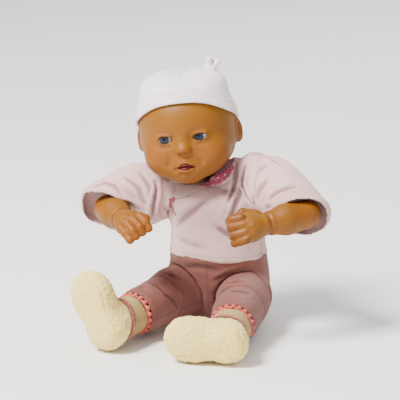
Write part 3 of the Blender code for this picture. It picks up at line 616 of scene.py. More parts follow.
def head_field(grid):
    q = (np.abs(grid.x), grid.y, grid.z)
    d = model(
        bare_head(grid.point()),
        q,
        (7.0, (0, -41.5, -37.0), (13.5, 13.8, 10.0)),
        # eye sockets and nose
        (-7.5, (EYE_X - 0.5, -56.0, EYE_Z), (11.5, 7.6, 7.0)),
        (7.0, (0, -45.5, -6.0), (0, -49.4, -16.0), 4.0, 5.0),
        (3.6, (0, -55.0, -19.5), (6.6, 5.2, 4.6)),
        (2.2, (5.0, -53.4, -21.2), (3.5, 3.7, 3.2)),
        (-1.0, (2.3, -57.4, -24.6), (2.9, -54.0, -22.6), 1.15, 0.9),
        # lids around each eyeball
        (2.4, (EYE_X, EYE_Y + 0.6, EYE_Z), (11.2, 10.0, 9.6)),
        (1.6, (EYE_X - 6.5, -49.2, EYE_Z + 4.4), (EYE_X + 7.0, -46.8, EYE_Z + 4.2), 1.9, 1.5),
        (1.8, (EYE_X - 5.5, -48.6, EYE_Z - 5.9), (EYE_X + 6.0, -46.6, EYE_Z - 5.7), 1.5, 1.2),
    )
    above, below = past_lids(q[0], q[2], 1.5)
    d = carve(d, np.maximum(np.maximum(above, below) * 0.8, q[1] + 38.0), 0.7)
    d = np.maximum(d, -ellipsoid(q, (EYE_X, EYE_Y, EYE_Z), (EYE_R + 0.5,) * 3))
    d = model(
        d,
        q,
        # groove under the nose, mounds and corners of the mouth, hollow above the chin
        (-2.2, (0, -58.2, -27.5), (0, -57.8, -33.0), 1.5, 1.9),
        (2.0, (0.0, -54.4, MOUTH_Z + 4.2), (7.6, -51.4, MOUTH_Z + 1.0), 1.9, 1.2),
        (2.0, (0.0, -53.4, MOUTH_Z - 5.2), (5.4, -51.8, MOUTH_Z - 4.0), 2.2, 1.7),
        (-3.0, (9.4, -54.2, MOUTH_Z - 1.6), (10.6, -52.6, MOUTH_Z - 3.2), 0.8, 1.0),
        (-2.8, (0, -56.0, MOUTH_Z - 10.4), (5.5, -54.2, MOUTH_Z - 9.4), 1.6, 1.1),
    )
    d = carve(d, np.maximum(lip_outline(grid.x, grid.z) - 0.3, grid.y + 38.0), 0.6)
    d = model(d, q, (-4.5, (13.0, -55.2, -23.5), (18.0, -51.8, -35.0), 0.5, 0.8))  # smile crease
    d = join(d, ear_field(q), 3.2)
    neck_hole = np.maximum(np.sqrt(grid.x**2 + grid.y**2) - 21.0, grid.z + 52.0)
    return carve(d, neck_hole, 1.5)


def build_head():
    grid = Grid((-61, -64, -61), (61, 59, 59), 0.85)
    skin = sculpt("head_skin", grid, head_field(grid), SKIN, HEAD)
    p = local(positions(skin), HEAD) / MM
    side = np.abs(p[:, 0])

    def spot(x, y, z, size):
        gap2 = (side - x) ** 2 + (p[:, 1] - y) ** 2 + (p[:, 2] - z) ** 2
        return np.exp(-gap2 / size**2)

    blush = 0.75 * spot(26, -46, -28, 13) + 0.55 * spot(0, -61, -21, 7) + 0.5 * spot(0, -52, -52, 9)
    blush += 0.45 * spot(54, 6, -13, 13) + 0.4 * spot(18, -50, 1, 8) + 0.5 * spot(0, -55, MOUTH_Z, 9)
    paint(skin, "blush", np.clip(blush, 0, 1))
    over, under = past_lids(side, p[:, 2], 1.2)
    outside = np.maximum(np.abs(side - EYE_X) / LID_WIDTH - 0.95, 0)
    near = soft_step(-p[:, 1], 20, 42) * bell(outside, 0.16)
    upper_half = p[:, 2] - EYE_Z - 0.05 * (side - EYE_X) > -1.5
    shade = 0.95 * near * bell(over - 0.1, 0.75) * upper_half
    shade += 0.45 * near * bell(under - 0.1, 0.6) + 0.25 * near * bell(under - 2.8, 2.2)
    shade += 0.45 * spot(2.6, -57.0, -25.0, 1.9) + 0.35 * spot(0, -55, MOUTH_Z - 10.2, 3.4)
    shade += 0.25 * spot(8.6, -53.0, MOUTH_Z - 1.4, 2.0) + 0.3 * spot(53, 4, -11, 4.5)
    paint(skin, "shade", np.clip(shade, 0, 0.8))
    hand_over(skin, "head", "vinyl_skin", "head_shell")


PUPIL, IRIS = 0.27, 0.66  # their edges' angles from the middle of the gaze, in radians


def eye_look():
    """Glass-like eye: pupil, streaked iris, white, and the painted lid above the lashes."""
    look = Look("sleeping_eye", 0.08, Coat_Weight=0.15, Coat_Roughness=0.03, Specular_IOR_Level=0.22)
    gaze, spoke, lift = (look.painted(n) for n in ("gaze", "spoke", "lift"))
    streak = look.plus(look.noise(900, 3), look.wave(spoke, 34.0), 0.3)
    iris = look.mix(look.spread(streak, 0.2, 0.95), (0.004, 0.009, 0.017), (0.020, 0.042, 0.072))
    iris = look.mix(look.spread(gaze, PUPIL + 0.23, IRIS - 0.02), iris, (0.003, 0.005, 0.009))
    white = look.mottle(300, 3, (0.42, 0.42, 0.42), (0.34, 0.32, 0.31), 0.4)
    lid = look.mottle(250, 3, (0.235, 0.087, 0.005), (0.21, 0.075, 0.005))
    eye = look.mix(look.over(gaze, IRIS), iris, white)
    eye = look.mix(look.over(gaze, PUPIL), (0.001, 0.001, 0.0015), eye)
    eye = look.mix(look.over(lift, 0.33), eye, (0.012, 0.006, 0.004))
    look.set("Base Color", look.mix(look.over(lift, 0.56), eye, lid))
    look.set("Roughness", look.spread(lift, 0.46, 0.50, 0.07, 0.5))
    look.set("Coat Weight", look.spread(lift, 0.46, 0.50, 0.15, 0.0))
    return look.relief(look.noise(1400, 2), 0.00002, 0.3)


def lash_mesh():
    """A row of tapered, upturned square hairs along the upper lid, in the eyeball's own axes (mm)."""
    hairs, rings, tilt = 21, 4, 0.5
    points, faces = [], []
    for i in range(hairs):
        t = i / (hairs - 1) * 2 - 1
        turn = t * 0.80
        height = math.cos(turn) * math.sin(tilt) * 0.98
        root = Vector((math.sin(turn), -math.cos(turn) * math.cos(tilt), height)).normalized() * (EYE_R - 0.1)
        out = Vector((root.x * 0.06 + t * 0.35, -0.9, 0.42)).normalized()
        length = 2.3 - 0.7 * abs(t)
        first = len(points)
        for k in range(rings):
            s = k / (rings - 1)
            middle = root + out * (length * s) + Z * (0.7 * s * s)
            r = 0.16 * (1 - s) + 0.03
            for a in range(4):
                points.append(middle + (X * math.cos(a * math.pi / 2) + Z * math.sin(a * math.pi / 2)) * r)
        for low in range(first, first + 4 * (rings - 1), 4):
            faces += [(low + a, low + (a + 1) % 4, low + 4 + (a + 1) % 4, low + 4 + a) for a in range(4)]
        faces.append((first + 3, first + 2, first + 1, first))
        faces.append(tuple(len(points) - 4 + a for a in range(4)))
    return points, faces


def build_eyes():
    material = eye_look()
    lash_look = yarn("lash_fibre", (0.03, 0.015, 0.01), (0.012, 0.006, 0.004), 3000)
    gaze = Vector((-0.13, -1.0, 0.0)).normalized()
    for side, facing in SIDES:
        centre = Vector((facing * EYE_X, EYE_Y, EYE_Z))
        place = HEAD @ Matrix.Translation(centre * MM)
        bm = bmesh.new()
        bmesh.ops.create_uvsphere(bm, u_segments=72, v_segments=48, radius=EYE_R * MM)
        mesh = bpy.data.meshes.new(f"eyeball_{side}")
        bm.to_mesh(mesh)
        bm.free()
        mesh.shade_smooth()
        mesh.materials.append(material)
        eye = add_object(f"eyeball_{side}", mesh)
        p = positions(eye)
        unit = p / (EYE_R * MM)
        angle = np.arccos(np.clip(unit @ np.array(gaze), -1, 1))
        paint(eye, "gaze", angle)
        paint(eye, "spoke", np.arctan2(p[:, 2], p[:, 0]))
        paint(eye, "lift", np.where(np.abs(unit[:, 0]) < 0.97, np.arctan2(p[:, 2], -p[:, 1]), 0))
        cornea = 1 + 0.05 * bell(angle, 0.5)
        move_to(eye, placed(p * cornea[:, None], place))
        hand_over(eye, "eyes", "eye_blue", f"eye_{side}")
        points, faces = lash_mesh()
        lashes = add_mesh(f"lashes_{side}", placed(np.array(points) * MM, place), faces, lash_look)
        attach(lashes, "eyes")


def lip_outline(x, z):
    """Below zero inside the pout's outline, seen from the front."""
    h = z - MOUTH_Z + 0.022 * x * x
    upper = h - (3.1 - 0.020 * x * x - 0.19 * np.abs(x) - 0.5 * bell(x, 0.9))
    lower = -h - (3.0 - 0.040 * x * x)
    return np.maximum(upper, lower) * 0.8


def lip_line(x, z):
    """Height above the line where the lips meet."""
    return z - MOUTH_Z + 0.5 + 0.024 * x * x


def build_lips():
    grid = Grid((-10.5, -61, MOUTH_Z - 6), (10.5, -43, MOUTH_Z + 5), 0.36)
    x, line = grid.x, lip_line(grid.x, grid.z)
    height = 54.3 + 1.8 * bell(line - 1.9, 1.4) * (1 - (x / 9.5) ** 2)
    height = height + 2.1 * bell(line + 1.7, 1.3) * (1 - (x / 7.5) ** 2)
    height = height - 1.3 * bell(line, 0.5) - 0.022 * x * x
    field = np.maximum(lip_outline(x, grid.z), -(grid.y + height))
    field = np.maximum(field, grid.y + 48.5)
    look = Look("lip_paint", 0.5, Specular_IOR_Level=0.3)
    base = look.mottle(220, 4, (0.13, 0.007, 0.003), (0.09, 0.004, 0.002))
    look.set("Base Color", look.mix(look.painted("shade"), base, (0.03, 0.003, 0.002)))
    lips = sculpt("lips", grid, field, look.relief(look.noise(900, 3), 0.0001, 0.5), HEAD)
    p = local(positions(lips), HEAD) / MM
    line = lip_line(p[:, 0], p[:, 2])
    paint(lips, "shade", np.clip(bell(line, 0.8) + 0.25 * (line > 0.8), 0, 1))
    hand_over(lips, "lip_plunger", "lip_red", "lip_plunger")


# ---------------------------------------------------------------- knit cap
WHITE_KNIT = knit("white_jersey", (0.93, 0.90, 0.89), (0.76, 0.67, 0.68))
WHITE_RIB = knit("white_rib", (0.93, 0.89, 0.88), (0.70, 0.58, 0.60), 0.0022, 0.0006)


def weave(obj, wale, course, shade=0.0):
    """Where each point lies across and along the knitting, in metres, for the stitches."""
    paint(obj, "wale", wale)
    paint(obj, "course", course)
    paint(obj, "shade", np.clip(shade + 0 * wale, 0, 1))


BAND_HEIGHT = 15.4
KNOT = (0.0310, 0.003, 0.0512)  # in the head's axes, metres


def above_brim(x, y, z):
    """Height above the cap's lower edge, which drops towards the back and the ears."""
    return z - (7.2 - 0.45 * y) + 6.5 * bell(np.abs(x) - 54, 20)


def weave_cap(piece, shade):
    p = local(positions(piece), HEAD)
    around = np.arctan2(p[:, 0], -p[:, 1])
    weave(piece, around * 0.052, np.arctan2(p[:, 2], np.hypot(p[:, 0], p[:, 1])) * 0.055, shade)


def build_crown(grid, shell, rise):
    outer = shell - 2.6 - 2.0 * soft_step(rise, 16, 40)
    for x, z in ((18.5, 37.0), (-17.5, 36.0)):
        outer = join(outer, ellipsoid(grid.point(), (x, 2.0, z), (28.5, 31.0, 20.0)), 9.0)
    outer = join(outer, grid.z + 0.02 * grid.x - 58.4, -6.0)
    field = np.maximum(np.maximum(outer, -(shell - 0.7)), BAND_HEIGHT - 2.6 - rise)
    crown = sculpt("cap_crown_knit", grid, field, WHITE_KNIT, HEAD, rounds=3)
    p = positions(crown)
    q = local(p, HEAD) / MM
    rise = above_brim(*q.T)
    sag = 1.6 * ripple(p, 26, 3.1) * soft_step(rise, 16, 34)
    seam = bell(q[:, 0] - 0.12 * q[:, 1] - 6, 0.9) * (q[:, 2] > 20)
    push(crown, (sag - 0.5 * seam) * MM)
    weave_cap(crown, 0.30 * seam + 0.5 * bell(rise - BAND_HEIGHT, 1.0))
    hand_over(crown, "head", "knit_white", "cap_crown")


def build_band(grid, shell, rise):
    roll = 0.9 * bell(rise - 2.0, 2.4) + 0.6 * bell(rise - BAND_HEIGHT + 2.2, 2.0)
    field = join(np.maximum(shell - 3.5 - roll, -(shell - 0.7)), 0.4 - rise, -1.2)
    field = join(field, rise - BAND_HEIGHT, -1.2)
    band = sculpt("cap_band_knit", grid, field, WHITE_RIB, HEAD)
    q = local(positions(band), HEAD) / MM
    rise = above_brim(*q.T)
    stitches = 0.5 * bell(rise - 3.6, 0.45) * (np.sin(np.arctan2(q[:, 0], -q[:, 1]) * 150) > 0)
    weave_cap(band, 0.4 * bell(rise - BAND_HEIGHT, 0.9) + stitches)
    hand_over(band, "head", "knit_white", "cap_band")


def build_knot():
    lean = Vector((0.42, 0, 0.90)).normalized()
    place = HEAD @ axes_matrix(Vector(KNOT), Y.cross(lean), Y, lean)
    grid = Grid((-12, -12, -5), (12, 12, 17), 0.5)
    p = grid.point()
    twist = 0.45 * np.sin(2 * np.arctan2(grid.y, grid.x) + 0.9 * grid.z)
    field = ellipsoid(p, (0, 0, 3.6), (7.4, 6.8, 4.0)) + twist
    field = join(field, limb(p, (0, 0, -4), (0, 0, 3), 8.6, 4.0), 2.0)
    for x, y, z in ((5.0, 1.0, 12.6), (-4.4, -1.6, 13.2), (0.6, 4.6, 11.6)):
        field = model(field, p, (1.0, (0.3 * x, 0.3 * y, 5.0), (x, y, z), 2.4, 3.4))
    knot = sculpt("cap_knot_knit", grid, field, WHITE_KNIT, place)
    q = local(positions(knot), place)
    weave(knot, np.arctan2(q[:, 0], -q[:, 1]) * 0.007, q[:, 2], 0.3 * (q[:, 2] < 0.0))
    hand_over(knot, "head", "knit_white", "cap_knot", fill=0.9)


def build_cap():
    grid = Grid((-62, -64, -34), (62, 66, 66), 1.0)
    shell, rise = skull(grid.point()), above_brim(*grid.point())
    build_crown(grid, shell, rise)
    build_band(grid, shell, rise)
    build_knot()


# ---------------------------------------------------------------- clothes (mm, row frame)
# Clothed torso: height, centre x, centre y, half width, half depth
TORSO = np.array((
    (0.0, 0, -10.0, 38.0, 22.0), (4.0, 0, -12.5, 46.0, 29.5), (12.0, 0, -16.0, 52.0, 36.0),
    (30.0, 0, -19.5, 55.0, 41.5), (55.0, 0, -23.5, 54.5, 42.0), (85.0, 0, -29.5, 52.0, 41.5),
    (112.0, 0, -35.5, 50.8, 39.0), (136.0, 0, -40.0, 50.0, 36.0), (145.5, -4, -41.0, 46.5, 32.0),
    (152.0, -12, -41.5, 34.5, 26.2), (156.0, -19, -42.0, 23.0, 20.0),
))
WAIST = 81.5
SEAM_X = 52.8  # the armholes' planes
PALMS = {"left": (0.0600, -0.1200, 0.1300), "right": (-0.0660, -0.1260, 0.1245)}
ANKLES = {"left": (0.0560, -0.1680, 0.0254), "right": (-0.0690, -0.1650, 0.0272)}
TOES = {"left": (-1.0, 0.0, 0.050), "right": (-0.464, 0.0, 0.886)}
# Sleeve: share of the way from shoulder to elbow, half width, then height above and below
SLEEVE = {
    "left": np.array((
        (-0.2, 17.0, 24.0, 16.0), (0.0, 21.5, 34.0, 20.0), (0.12, 25.0, 37.5, 24.0),
        (0.28, 27.5, 38.5, 27.0), (0.5, 28.5, 36.0, 28.0), (0.75, 28.0, 31.0, 28.0),
        (1.0, 27.0, 25.0, 27.0), (1.4, 24.0, 20.0, 25.0),
    )),
    "right": np.array((
        (-0.2, 17.0, 22.0, 15.0), (0.0, 21.5, 31.0, 18.0), (0.12, 25.0, 36.5, 22.0),
        (0.28, 27.5, 41.5, 26.0), (0.5, 28.5, 44.0, 28.0), (0.75, 28.5, 41.0, 28.0),
        (1.0, 27.5, 35.0, 27.0), (1.4, 25.0, 26.0, 26.0),
    )),
}
# Sleeve's mouth: its direction along the upper arm, to the elbow's inside and up, its distance
MOUTH = {"left": (0.78, 0.625, 0.0, 4.4), "right": (0.55, 0.74, -0.39, 4.7)}
ELBOW_CAP = {"left": 20.0, "right": 28.0}  # how far past the elbow the sleeve is rounded off
# Trouser leg: distance from the hip, radius
TROUSER = np.array((
    (-12, 27.5), (0, 29.5), (18, 29.4), (34, 28.4), (50, 26.6), (64, 26.2), (78, 26.0), (90, 24.6),
    (100, 23.4),
))
LEG_JOIN = 46.0  # where the two parts of a trouser leg meet

PINK_LIGHT, PINK_DARK = (0.74, 0.53, 0.50), (0.56, 0.29, 0.30)
PINK_KNIT = knit("pink_jersey", PINK_LIGHT, PINK_DARK)
TOP_KNIT = trimmed_knit(
    "pink_top_jersey", PINK_LIGHT, PINK_DARK, (0.50, 0.27, 0.27), (0.42, 0.045, 0.105), (0.66, 0.38, 0.42)
)
THREAD = yarn("rose_thread", (0.30, 0.05, 0.085), (0.19, 0.025, 0.045), 3000)
MAUVE = brushed("mauve_cotton", (0.225, 0.075, 0.055), (0.145, 0.042, 0.034))


def profile(table, at):
    """The table's other columns, where its first column has the given values."""
    return [np.interp(at, table[:, 0], column) for column in table[:, 1:].T]


def torso_field(p):
    x, y, z = p
    cx, cy, hw, hd = profile(TORSO, np.clip(z, 0, 156))
    rho = (np.abs((x - cx) / hw) ** 2.25 + np.abs((y - cy) / hd) ** 2.25) ** (1 / 2.25)
    return np.maximum((rho - 1) * np.minimum(hw, hd), np.maximum(-z, z - 156.0))


class Arm:
    """An arm's points and directions; lengths in millimetres."""

    def __init__(self, side):
        self.side, self.facing = side, 1 if side == "left" else -1
        self.shoulder = joint_at(f"shoulder_{side}_swing")[0] / MM
        self.elbow, hinge = joint_at(f"elbow_{side}_bend")
        self.elbow /= MM
        self.along = (self.elbow - self.shoulder).normalized()
        self.forward = (Vector(PALMS[side]) / MM - self.elbow).normalized()
        self.hinge = hinge if hinge.z > 0 else -hinge
        self.across = (Z.cross(self.along) * self.facing).normalized()
        self.up = self.along.cross(self.across) * self.facing
        self.length = (self.elbow - self.shoulder).length
        outer = self.along.cross(self.hinge)
        inner = outer if outer.dot(self.forward) > 0 else -outer
        straight, turned, raised, distance = MOUTH[side]
        direction = self.along * straight + inner * turned + self.hinge * raised
        self.mouth = direction.normalized()
        self.end = self.elbow + self.mouth * distance

    def field(self, p):
        s, u, v = turned_point(p, self.shoulder, (self.along, self.across, self.up))
        a, above, below = profile(SLEEVE[self.side], s / self.length)
        b = np.where(v > 0, above, below)
        wall = (np.sqrt((u / a) ** 2 + (v / b) ** 2) - 1) * np.minimum(a, b)
        return join(np.maximum(wall, -s - 12), s - self.length - ELBOW_CAP[self.side], -14.0)

    def past_mouth(self, points):
        return (points - np.array(self.end)) @ np.array(self.mouth)


class Leg:
    """A leg's points and directions; lengths in millimetres."""

    def __init__(self, side):
        self.side, self.facing = side, 1 if side == "left" else -1
        self.hip = joint_at(f"hip_{side}_swing")[0] / MM
        self.knee = joint_at(f"knee_{side}_bend")[0] / MM
        self.ankle = Vector(ANKLES[side]) / MM
        self.down = (self.ankle - self.hip).normalized()
        self.level = Z.cross(-self.down).normalized()
        self.upright = (-self.down).cross(self.level).normalized()
        up_leg = -self.down
        toes = Vector(TOES[side])
        self.toes = (toes - up_leg * toes.dot(up_leg)).normalized()
        lateral = (-self.toes).cross(up_leg)
        self.place = axes_matrix(self.ankle * MM, lateral, -self.toes, up_leg)

    def field(self, p):
        s, u, v = turned_point(p, self.hip, (self.down, self.level, self.upright))
        return np.sqrt(u * u + v * v) - profile(TROUSER, s)[0]

    def along(self, p):
        return turned_point(p, self.hip, (self.down, self.level, self.upright))[0]


ARMS = {side: Arm(side) for side, _ in SIDES}
LEGS = {side: Leg(side) for side, _ in SIDES}


def wrap(piece, centre, axis, right, radius):
    """Stitch coordinates of a tube, in metres: round the axis, and along it."""
    q = positions(piece) - np.array(centre) * MM
    axis, right = np.array(axis), np.array(right)
    return np.arctan2(q @ np.cross(axis, right), q @ right) * (radius * MM), q @ axis


def swell(name, grid, field, look, pinned, limit):
    """A padded piece: the field's surface, swollen as cloth between its seams, and refined."""
    piece = sculpt(name, grid, field, look)
    puff(piece, 4.0, limit, pinned(positions(piece) / MM))
    modify(piece, "SUBSURF", levels=1, render_levels=1)
    return piece


def fold(piece, group):
    """Sculpts the folds listed for a piece and remembers how deep each point lies in them."""
    deep = np.zeros(len(piece.data.vertices))
    for width, depth, *path in FOLDS[group]:
        deep = np.maximum(deep, crease(piece, path, width, depth) * min(1, depth / 1.7))
    paint(piece, "fold", deep)


def rumple(piece, group, height, scale, seed, wall, free=lambda q: np.ones(len(q))):
    """A garment piece's folds, a slight unevenness where it is free, and its wall, in mm."""
    fold(piece, group)
    p = positions(piece)
    push(piece, height * MM * ripple(p, scale, seed) * free(p / MM))
    thicken(piece, wall)


def near_head(p):
    """Distance from the head's surface, in the row frame's millimetres."""
    turned = HEAD.to_3x3().transposed()
    return bare_head(turned_point(p, HEAD.translation / MM, turned))


def shoulders(p):
    """Torso and sleeves in one: the left shoulder is pushed up beside the jaw."""
    field = model(
        torso_field(p),
        p,
        (9.0, (47, -36, 148), (42, -36, 175.5), 21, 18.5),
        (6.0, (11, -31, 156), (33, 25, 31)),
        (8.0, (-46, -38, 132), (-50, -40, 148), 17, 15),
        (8.0, (-13, -24, 150), (36, 22, 27)),
    )
    for arm in ARMS.values():
        field = join(field, arm.field(p), 9.0)
    return carve(field, near_head(p) - 4.0, 3.0)


def build_top():
    grid = Grid((-62, -84, 66), (62, 24, 204), CLOTH_CELL)
    body = shoulders(grid.point())
    hem = 1.6 * bell(grid.z - 76, 5.0)
    body = join(body - hem, np.abs(grid.x) - (SEAM_X - 0.3), -1.5)
    body = join(body, 75.0 - grid.z, -2.0)

    def pinned(q):
        return (near_head(q.T) < 9) | (q[:, 2] < 77) | (np.abs(q[:, 0]) > SEAM_X - 3.5)

    top = swell("knit_top", grid, body, TOP_KNIT, pinned, 3.0)
    q = positions(top) / MM
    inside_neck = np.hypot((q[:, 0] + 19.5) / 21.0, (q[:, 1] + 42) / 18.5) < 1
    inside_neck &= (q[:, 2] > 146) & (near_head(q.T) < 9)
    open_end(top, (q[:, 2] < 77.2) & (torso_field(q.T) < -1.2) | inside_neck)
    rumple(top, "top", 1.6, 24, 5.0, 1.3)
    dress_neck(top)
    x, y, z = positions(top).T / MM
    edge = bell(SEAM_X - 1.5 - np.abs(x), 1.0)
    # Painted shadow: a broad darkening over the chest's front, below the chin and between the arms
    front = bell(z - 126, 26) * soft_step(-y, 45, 70)
    shade = 0.45 * edge + 0.4 * bell(z - 82.0, 0.8) + 0.38 * front + shade_of(top)
    weave(top, *wrap(top, (0, -36, 0), Z, -Y, 48), shade)
    hand_over(top, "torso", "knit_pink", "romper_top", "collar", fill=0.6)
    stitch_top(top)


# Folds: half width of the valley, its depth, then its path
FOLDS = {
    "top": (
        (1.9, 3.4, (41, -48, 187), (36.5, -51.9, 179.6), (35.1, -53.7, 169.3), (34.8, -54.6, 161),
         (39.7, -58.5, 152.7), (46.7, -63, 145.8), (52, -65, 138)),
        (1.6, 1.8, (39, -48.5, 186.5), (42, -44.5, 190.4), (47.4, -40.1, 192), (53, -41, 192)),
        (2.0, 1.7, (24.6, -44.8, 181), (25.9, -51, 168.1), (24.6, -53.4, 155.8), (23.7, -65.3, 145.6),
         (21, -72, 134)),
        (2.8, 1.9, (32.8, -54, 156.4), (31.3, -65.6, 141.9), (28, -73, 126)),
        (4.5, 1.5, (-35.7, -64.5, 112.2), (-12.3, -75.5, 134), (7.1, -68.7, 149)),
        (2.2, 2.6, (-49, -60, 152), (-50, -64, 140), (-49, -62, 124), (-47, -58, 110)),
        (4.0, 1.3, (10, -76, 118), (26, -72, 108), (38, -60, 104)),
        (4.0, 1.1, (-40, -66, 100), (-20, -74, 94), (4, -75, 92)),
    ),
    "sleeve_left": (
        (1.8, 2.2, (53, -41, 192), (56.9, -43, 191.7), (70, -57.3, 191), (79.4, -63.2, 187.6)),
        (2.3, 2.8, (73.6, -83.7, 152.7), (79.1, -84.7, 159.7), (85.4, -84.6, 164.2), (92.3, -83.2, 167.2),
         (100.6, -79, 169.7)),
        (3.5, 1.4, (53.5, -61.9, 178), (59, -62.4, 183), (65.3, -62.4, 186.7)),
        (3.4, 2.0, (55.9, -71.7, 149.6), (60.8, -74.2, 162.1), (69.3, -74.7, 173.5)),
        (2.2, 3.0, (53, -66, 152), (55, -68, 141), (57, -66, 128)),
        (2.6, 1.6, (66, -82, 140), (74, -84, 147), (86, -80, 146)),
    ),
    "sleeve_right": (
        (2.3, 4.2, (-59.6, -66.7, 158.9), (-57.7, -69.5, 152.2), (-57.6, -72.2, 144.3),
         (-59, -74.4, 133.9), (-61.9, -72.1, 120.3)),
        (2.3, 2.6, (-125.4, -87.4, 151.3), (-113.1, -83.3, 157.4), (-99.9, -85.9, 155.4),
         (-90.8, -87.6, 144.8)),
        (2.3, 2.8, (-90.8, -78.7, 164.3), (-80, -79, 157), (-73.3, -79, 151.5), (-68.3, -79.3, 138.5)),
        (2.0, 2.4, (-76.3, -69.9, 167.8), (-64.2, -72.6, 154.5), (-61.5, -74.7, 142)),
        (2.6, 1.8, (-100, -88, 140), (-84, -86, 136), (-70, -80, 128)),
    ),
    "seat": (
        (3.4, 1.3, (-30, -62, 66), (-10, -68, 70), (14, -68, 68)),
        (2.4, 1.5, (40, -58, 68), (22, -65, 62), (4, -68, 52)),
        (2.4, 1.5, (-42, -56, 66), (-24, -64, 58), (-6, -68, 46)),
    ),
    "leg_upper_left": (
        (2.6, 1.8, (14, -72, 52), (30, -78, 60), (48, -76, 56)),
        (2.6, 1.5, (12, -80, 40), (28, -88, 54), (44, -90, 57)),
    ),
    "leg_upper_right": (
        (2.6, 1.8, (-14, -72, 52), (-32, -78, 60), (-50, -76, 56)),
        (2.6, 1.6, (-12, -80, 40), (-28, -90, 54), (-46, -94, 58)),
    ),
    "leg_lower_left": (
        (2.4, 2.0, (30, -98, 40), (42, -102, 54), (58, -100, 54)),
        (2.2, 1.5, (34, -112, 30), (46, -114, 50), (62, -112, 50)),
    ),
    "leg_lower_right": (
        (2.0, 2.6, (-52, -108, 58), (-42.8, -109.3, 54.7), (-32.3, -110.7, 46.4), (-24.2, -95.9, 30.3)),
        (2.4, 1.8, (-68, -112, 52), (-56, -120, 54), (-40, -124, 44)),
        (2.2, 1.4, (-72, -128, 44), (-60, -134, 50), (-46, -134, 40)),
    ),
}
# Neck of the top: the band's lower seam, the middle of the facing beside the chin, and its edge
BAND_SEAM = (
    (-52, -64, 140), (-46.8, -65.1, 140.2), (-37.6, -66.1, 141.8), (-27.3, -70.4, 144.7),
    (-20.5, -71.2, 147.6), (-15.6, -69.4, 151), (-12, -63, 155),
)
FACING = (
    (-10.5, -52.5, 158.5), (-2.5, -53.2, 161.4), (6.3, -53.5, 164.8), (13.6, -51.5, 169.7),
    (16.4, -45.9, 175.7),
)
FACING_EDGE = (
    (-12, -60, 156.5), (-1.8, -55.5, 158.6), (6.8, -55, 160.4), (15.1, -53.7, 163.4), (20.6, -50.9, 168.9),
    (21, -43.8, 178.8), (19, -38, 184),
)
BOW = (-43.2, -65.5, 140)
RIBBON_TAILS = (
    (BOW, (-44.4, -65, 132), (-47.2, -63.5, 124.0), (-45.8, -64, 122.8)),
    (BOW, (-41.8, -66, 131.5), (-38.8, -67, 124.6), (-36.0, -68, 123.6)),
    (BOW, (-46.6, -63.6, 142.8), (-47.6, -63, 138.6), BOW),
    (BOW, (-39.6, -67, 142.8), (-38.8, -67, 138.8), BOW),
)


def shade_of(piece):
    """Darkening in the hollows, where a point lies below its surroundings, and in the folds."""
    points, mean = positions(piece), positions(piece)
    edges = np.array([e.vertices[:] for e in piece.data.edges])
    for _ in range(6):
        mean = neighbour_mean(mean, edges)
    hollow = np.clip(((mean - points) * normals(piece)).sum(axis=1) / 0.0004, 0, 1) * 0.6
    if "fold" in piece.data.attributes:
        depth = np.empty(len(points), np.float32)
        piece.data.attributes["fold"].data.foreach_get("value", depth)
        hollow = hollow + 0.8 * depth
    return np.clip(hollow, 0, 0.9)


def dress_neck(top):
    """Where the neckband and the printed facing lie; the facing's edge stands up a little."""
    crease(top, FACING_EDGE, 1.6, -1.3)
    crease(top, BAND_SEAM, 1.0, 0.7, 0.2)
    p = positions(top)
    q = p / MM
    height = np.interp(q[:, 0], [v[0] for v in BAND_SEAM], [v[2] for v in BAND_SEAM])
    paint(top, "band", (q[:, 2] > height) & (q[:, 0] < -11) & (q[:, 1] < -44))
    paint(top, "rib", p @ np.array((0.80, 0.0, -0.60)))
    gap, _ = near_path(q, np.array(FACING))
    paint(top, "facing", (gap < 6.2) | (near_head(q.T) < 6.0) & (q[:, 0] > -14))


def skin_tree(piece):
    return BVHTree.FromPolygons(positions(piece).tolist(), [tuple(f.vertices) for f in piece.data.polygons])


def sewn(name, target, paths, half_width, height):
    """Threads laid on a piece along paths (mm): flat where they lie, round on top."""
    tree = skin_tree(target)
    points, faces = [], []
    arch = [(math.cos(t), math.sin(t)) for t in np.linspace(0, math.pi, 5)]
    for path in paths:
        laid = [tree.find_nearest(Vector(at) * MM)[:2] for at in path]
        first = len(points)
        for i, (near, up) in enumerate(laid):
            ahead = laid[min(i + 1, len(laid) - 1)][0] - laid[max(i - 1, 0)][0]
            side = ahead.cross(up).normalized()
            taper = 0.55 if i in (0, len(laid) - 1) else 1.0
            for across, rise in arch:
                reach = side * (across * half_width * taper) + up * ((rise * taper - 0.2) * height)
                points.append(near + reach * MM)
        for low in range(first, len(points) - 5, 5):
            faces += [(low + k, low + (k + 1) % 5, low + 5 + (k + 1) % 5, low + 5 + k) for k in range(5)]
        faces.append(tuple(first + k for k in range(4, -1, -1)))
        faces.append(tuple(len(points) - 5 + k for k in range(5)))
    thread = add_mesh(name, [tuple(p) for p in points], faces, THREAD)
    hand_over(thread, "torso", "collar_pink")


def stitch_top(top):
    seam = even_path(BAND_SEAM, 0.8)
    sewn("neckband_stitches", top, [seam[i : i + 3] for i in range(0, len(seam) - 3, 4)], 0.42, 0.55)
    sewn("embroidered_bow", top, [even_path(path, 0.9) for path in RIBBON_TAILS], 1.3, 1.1)


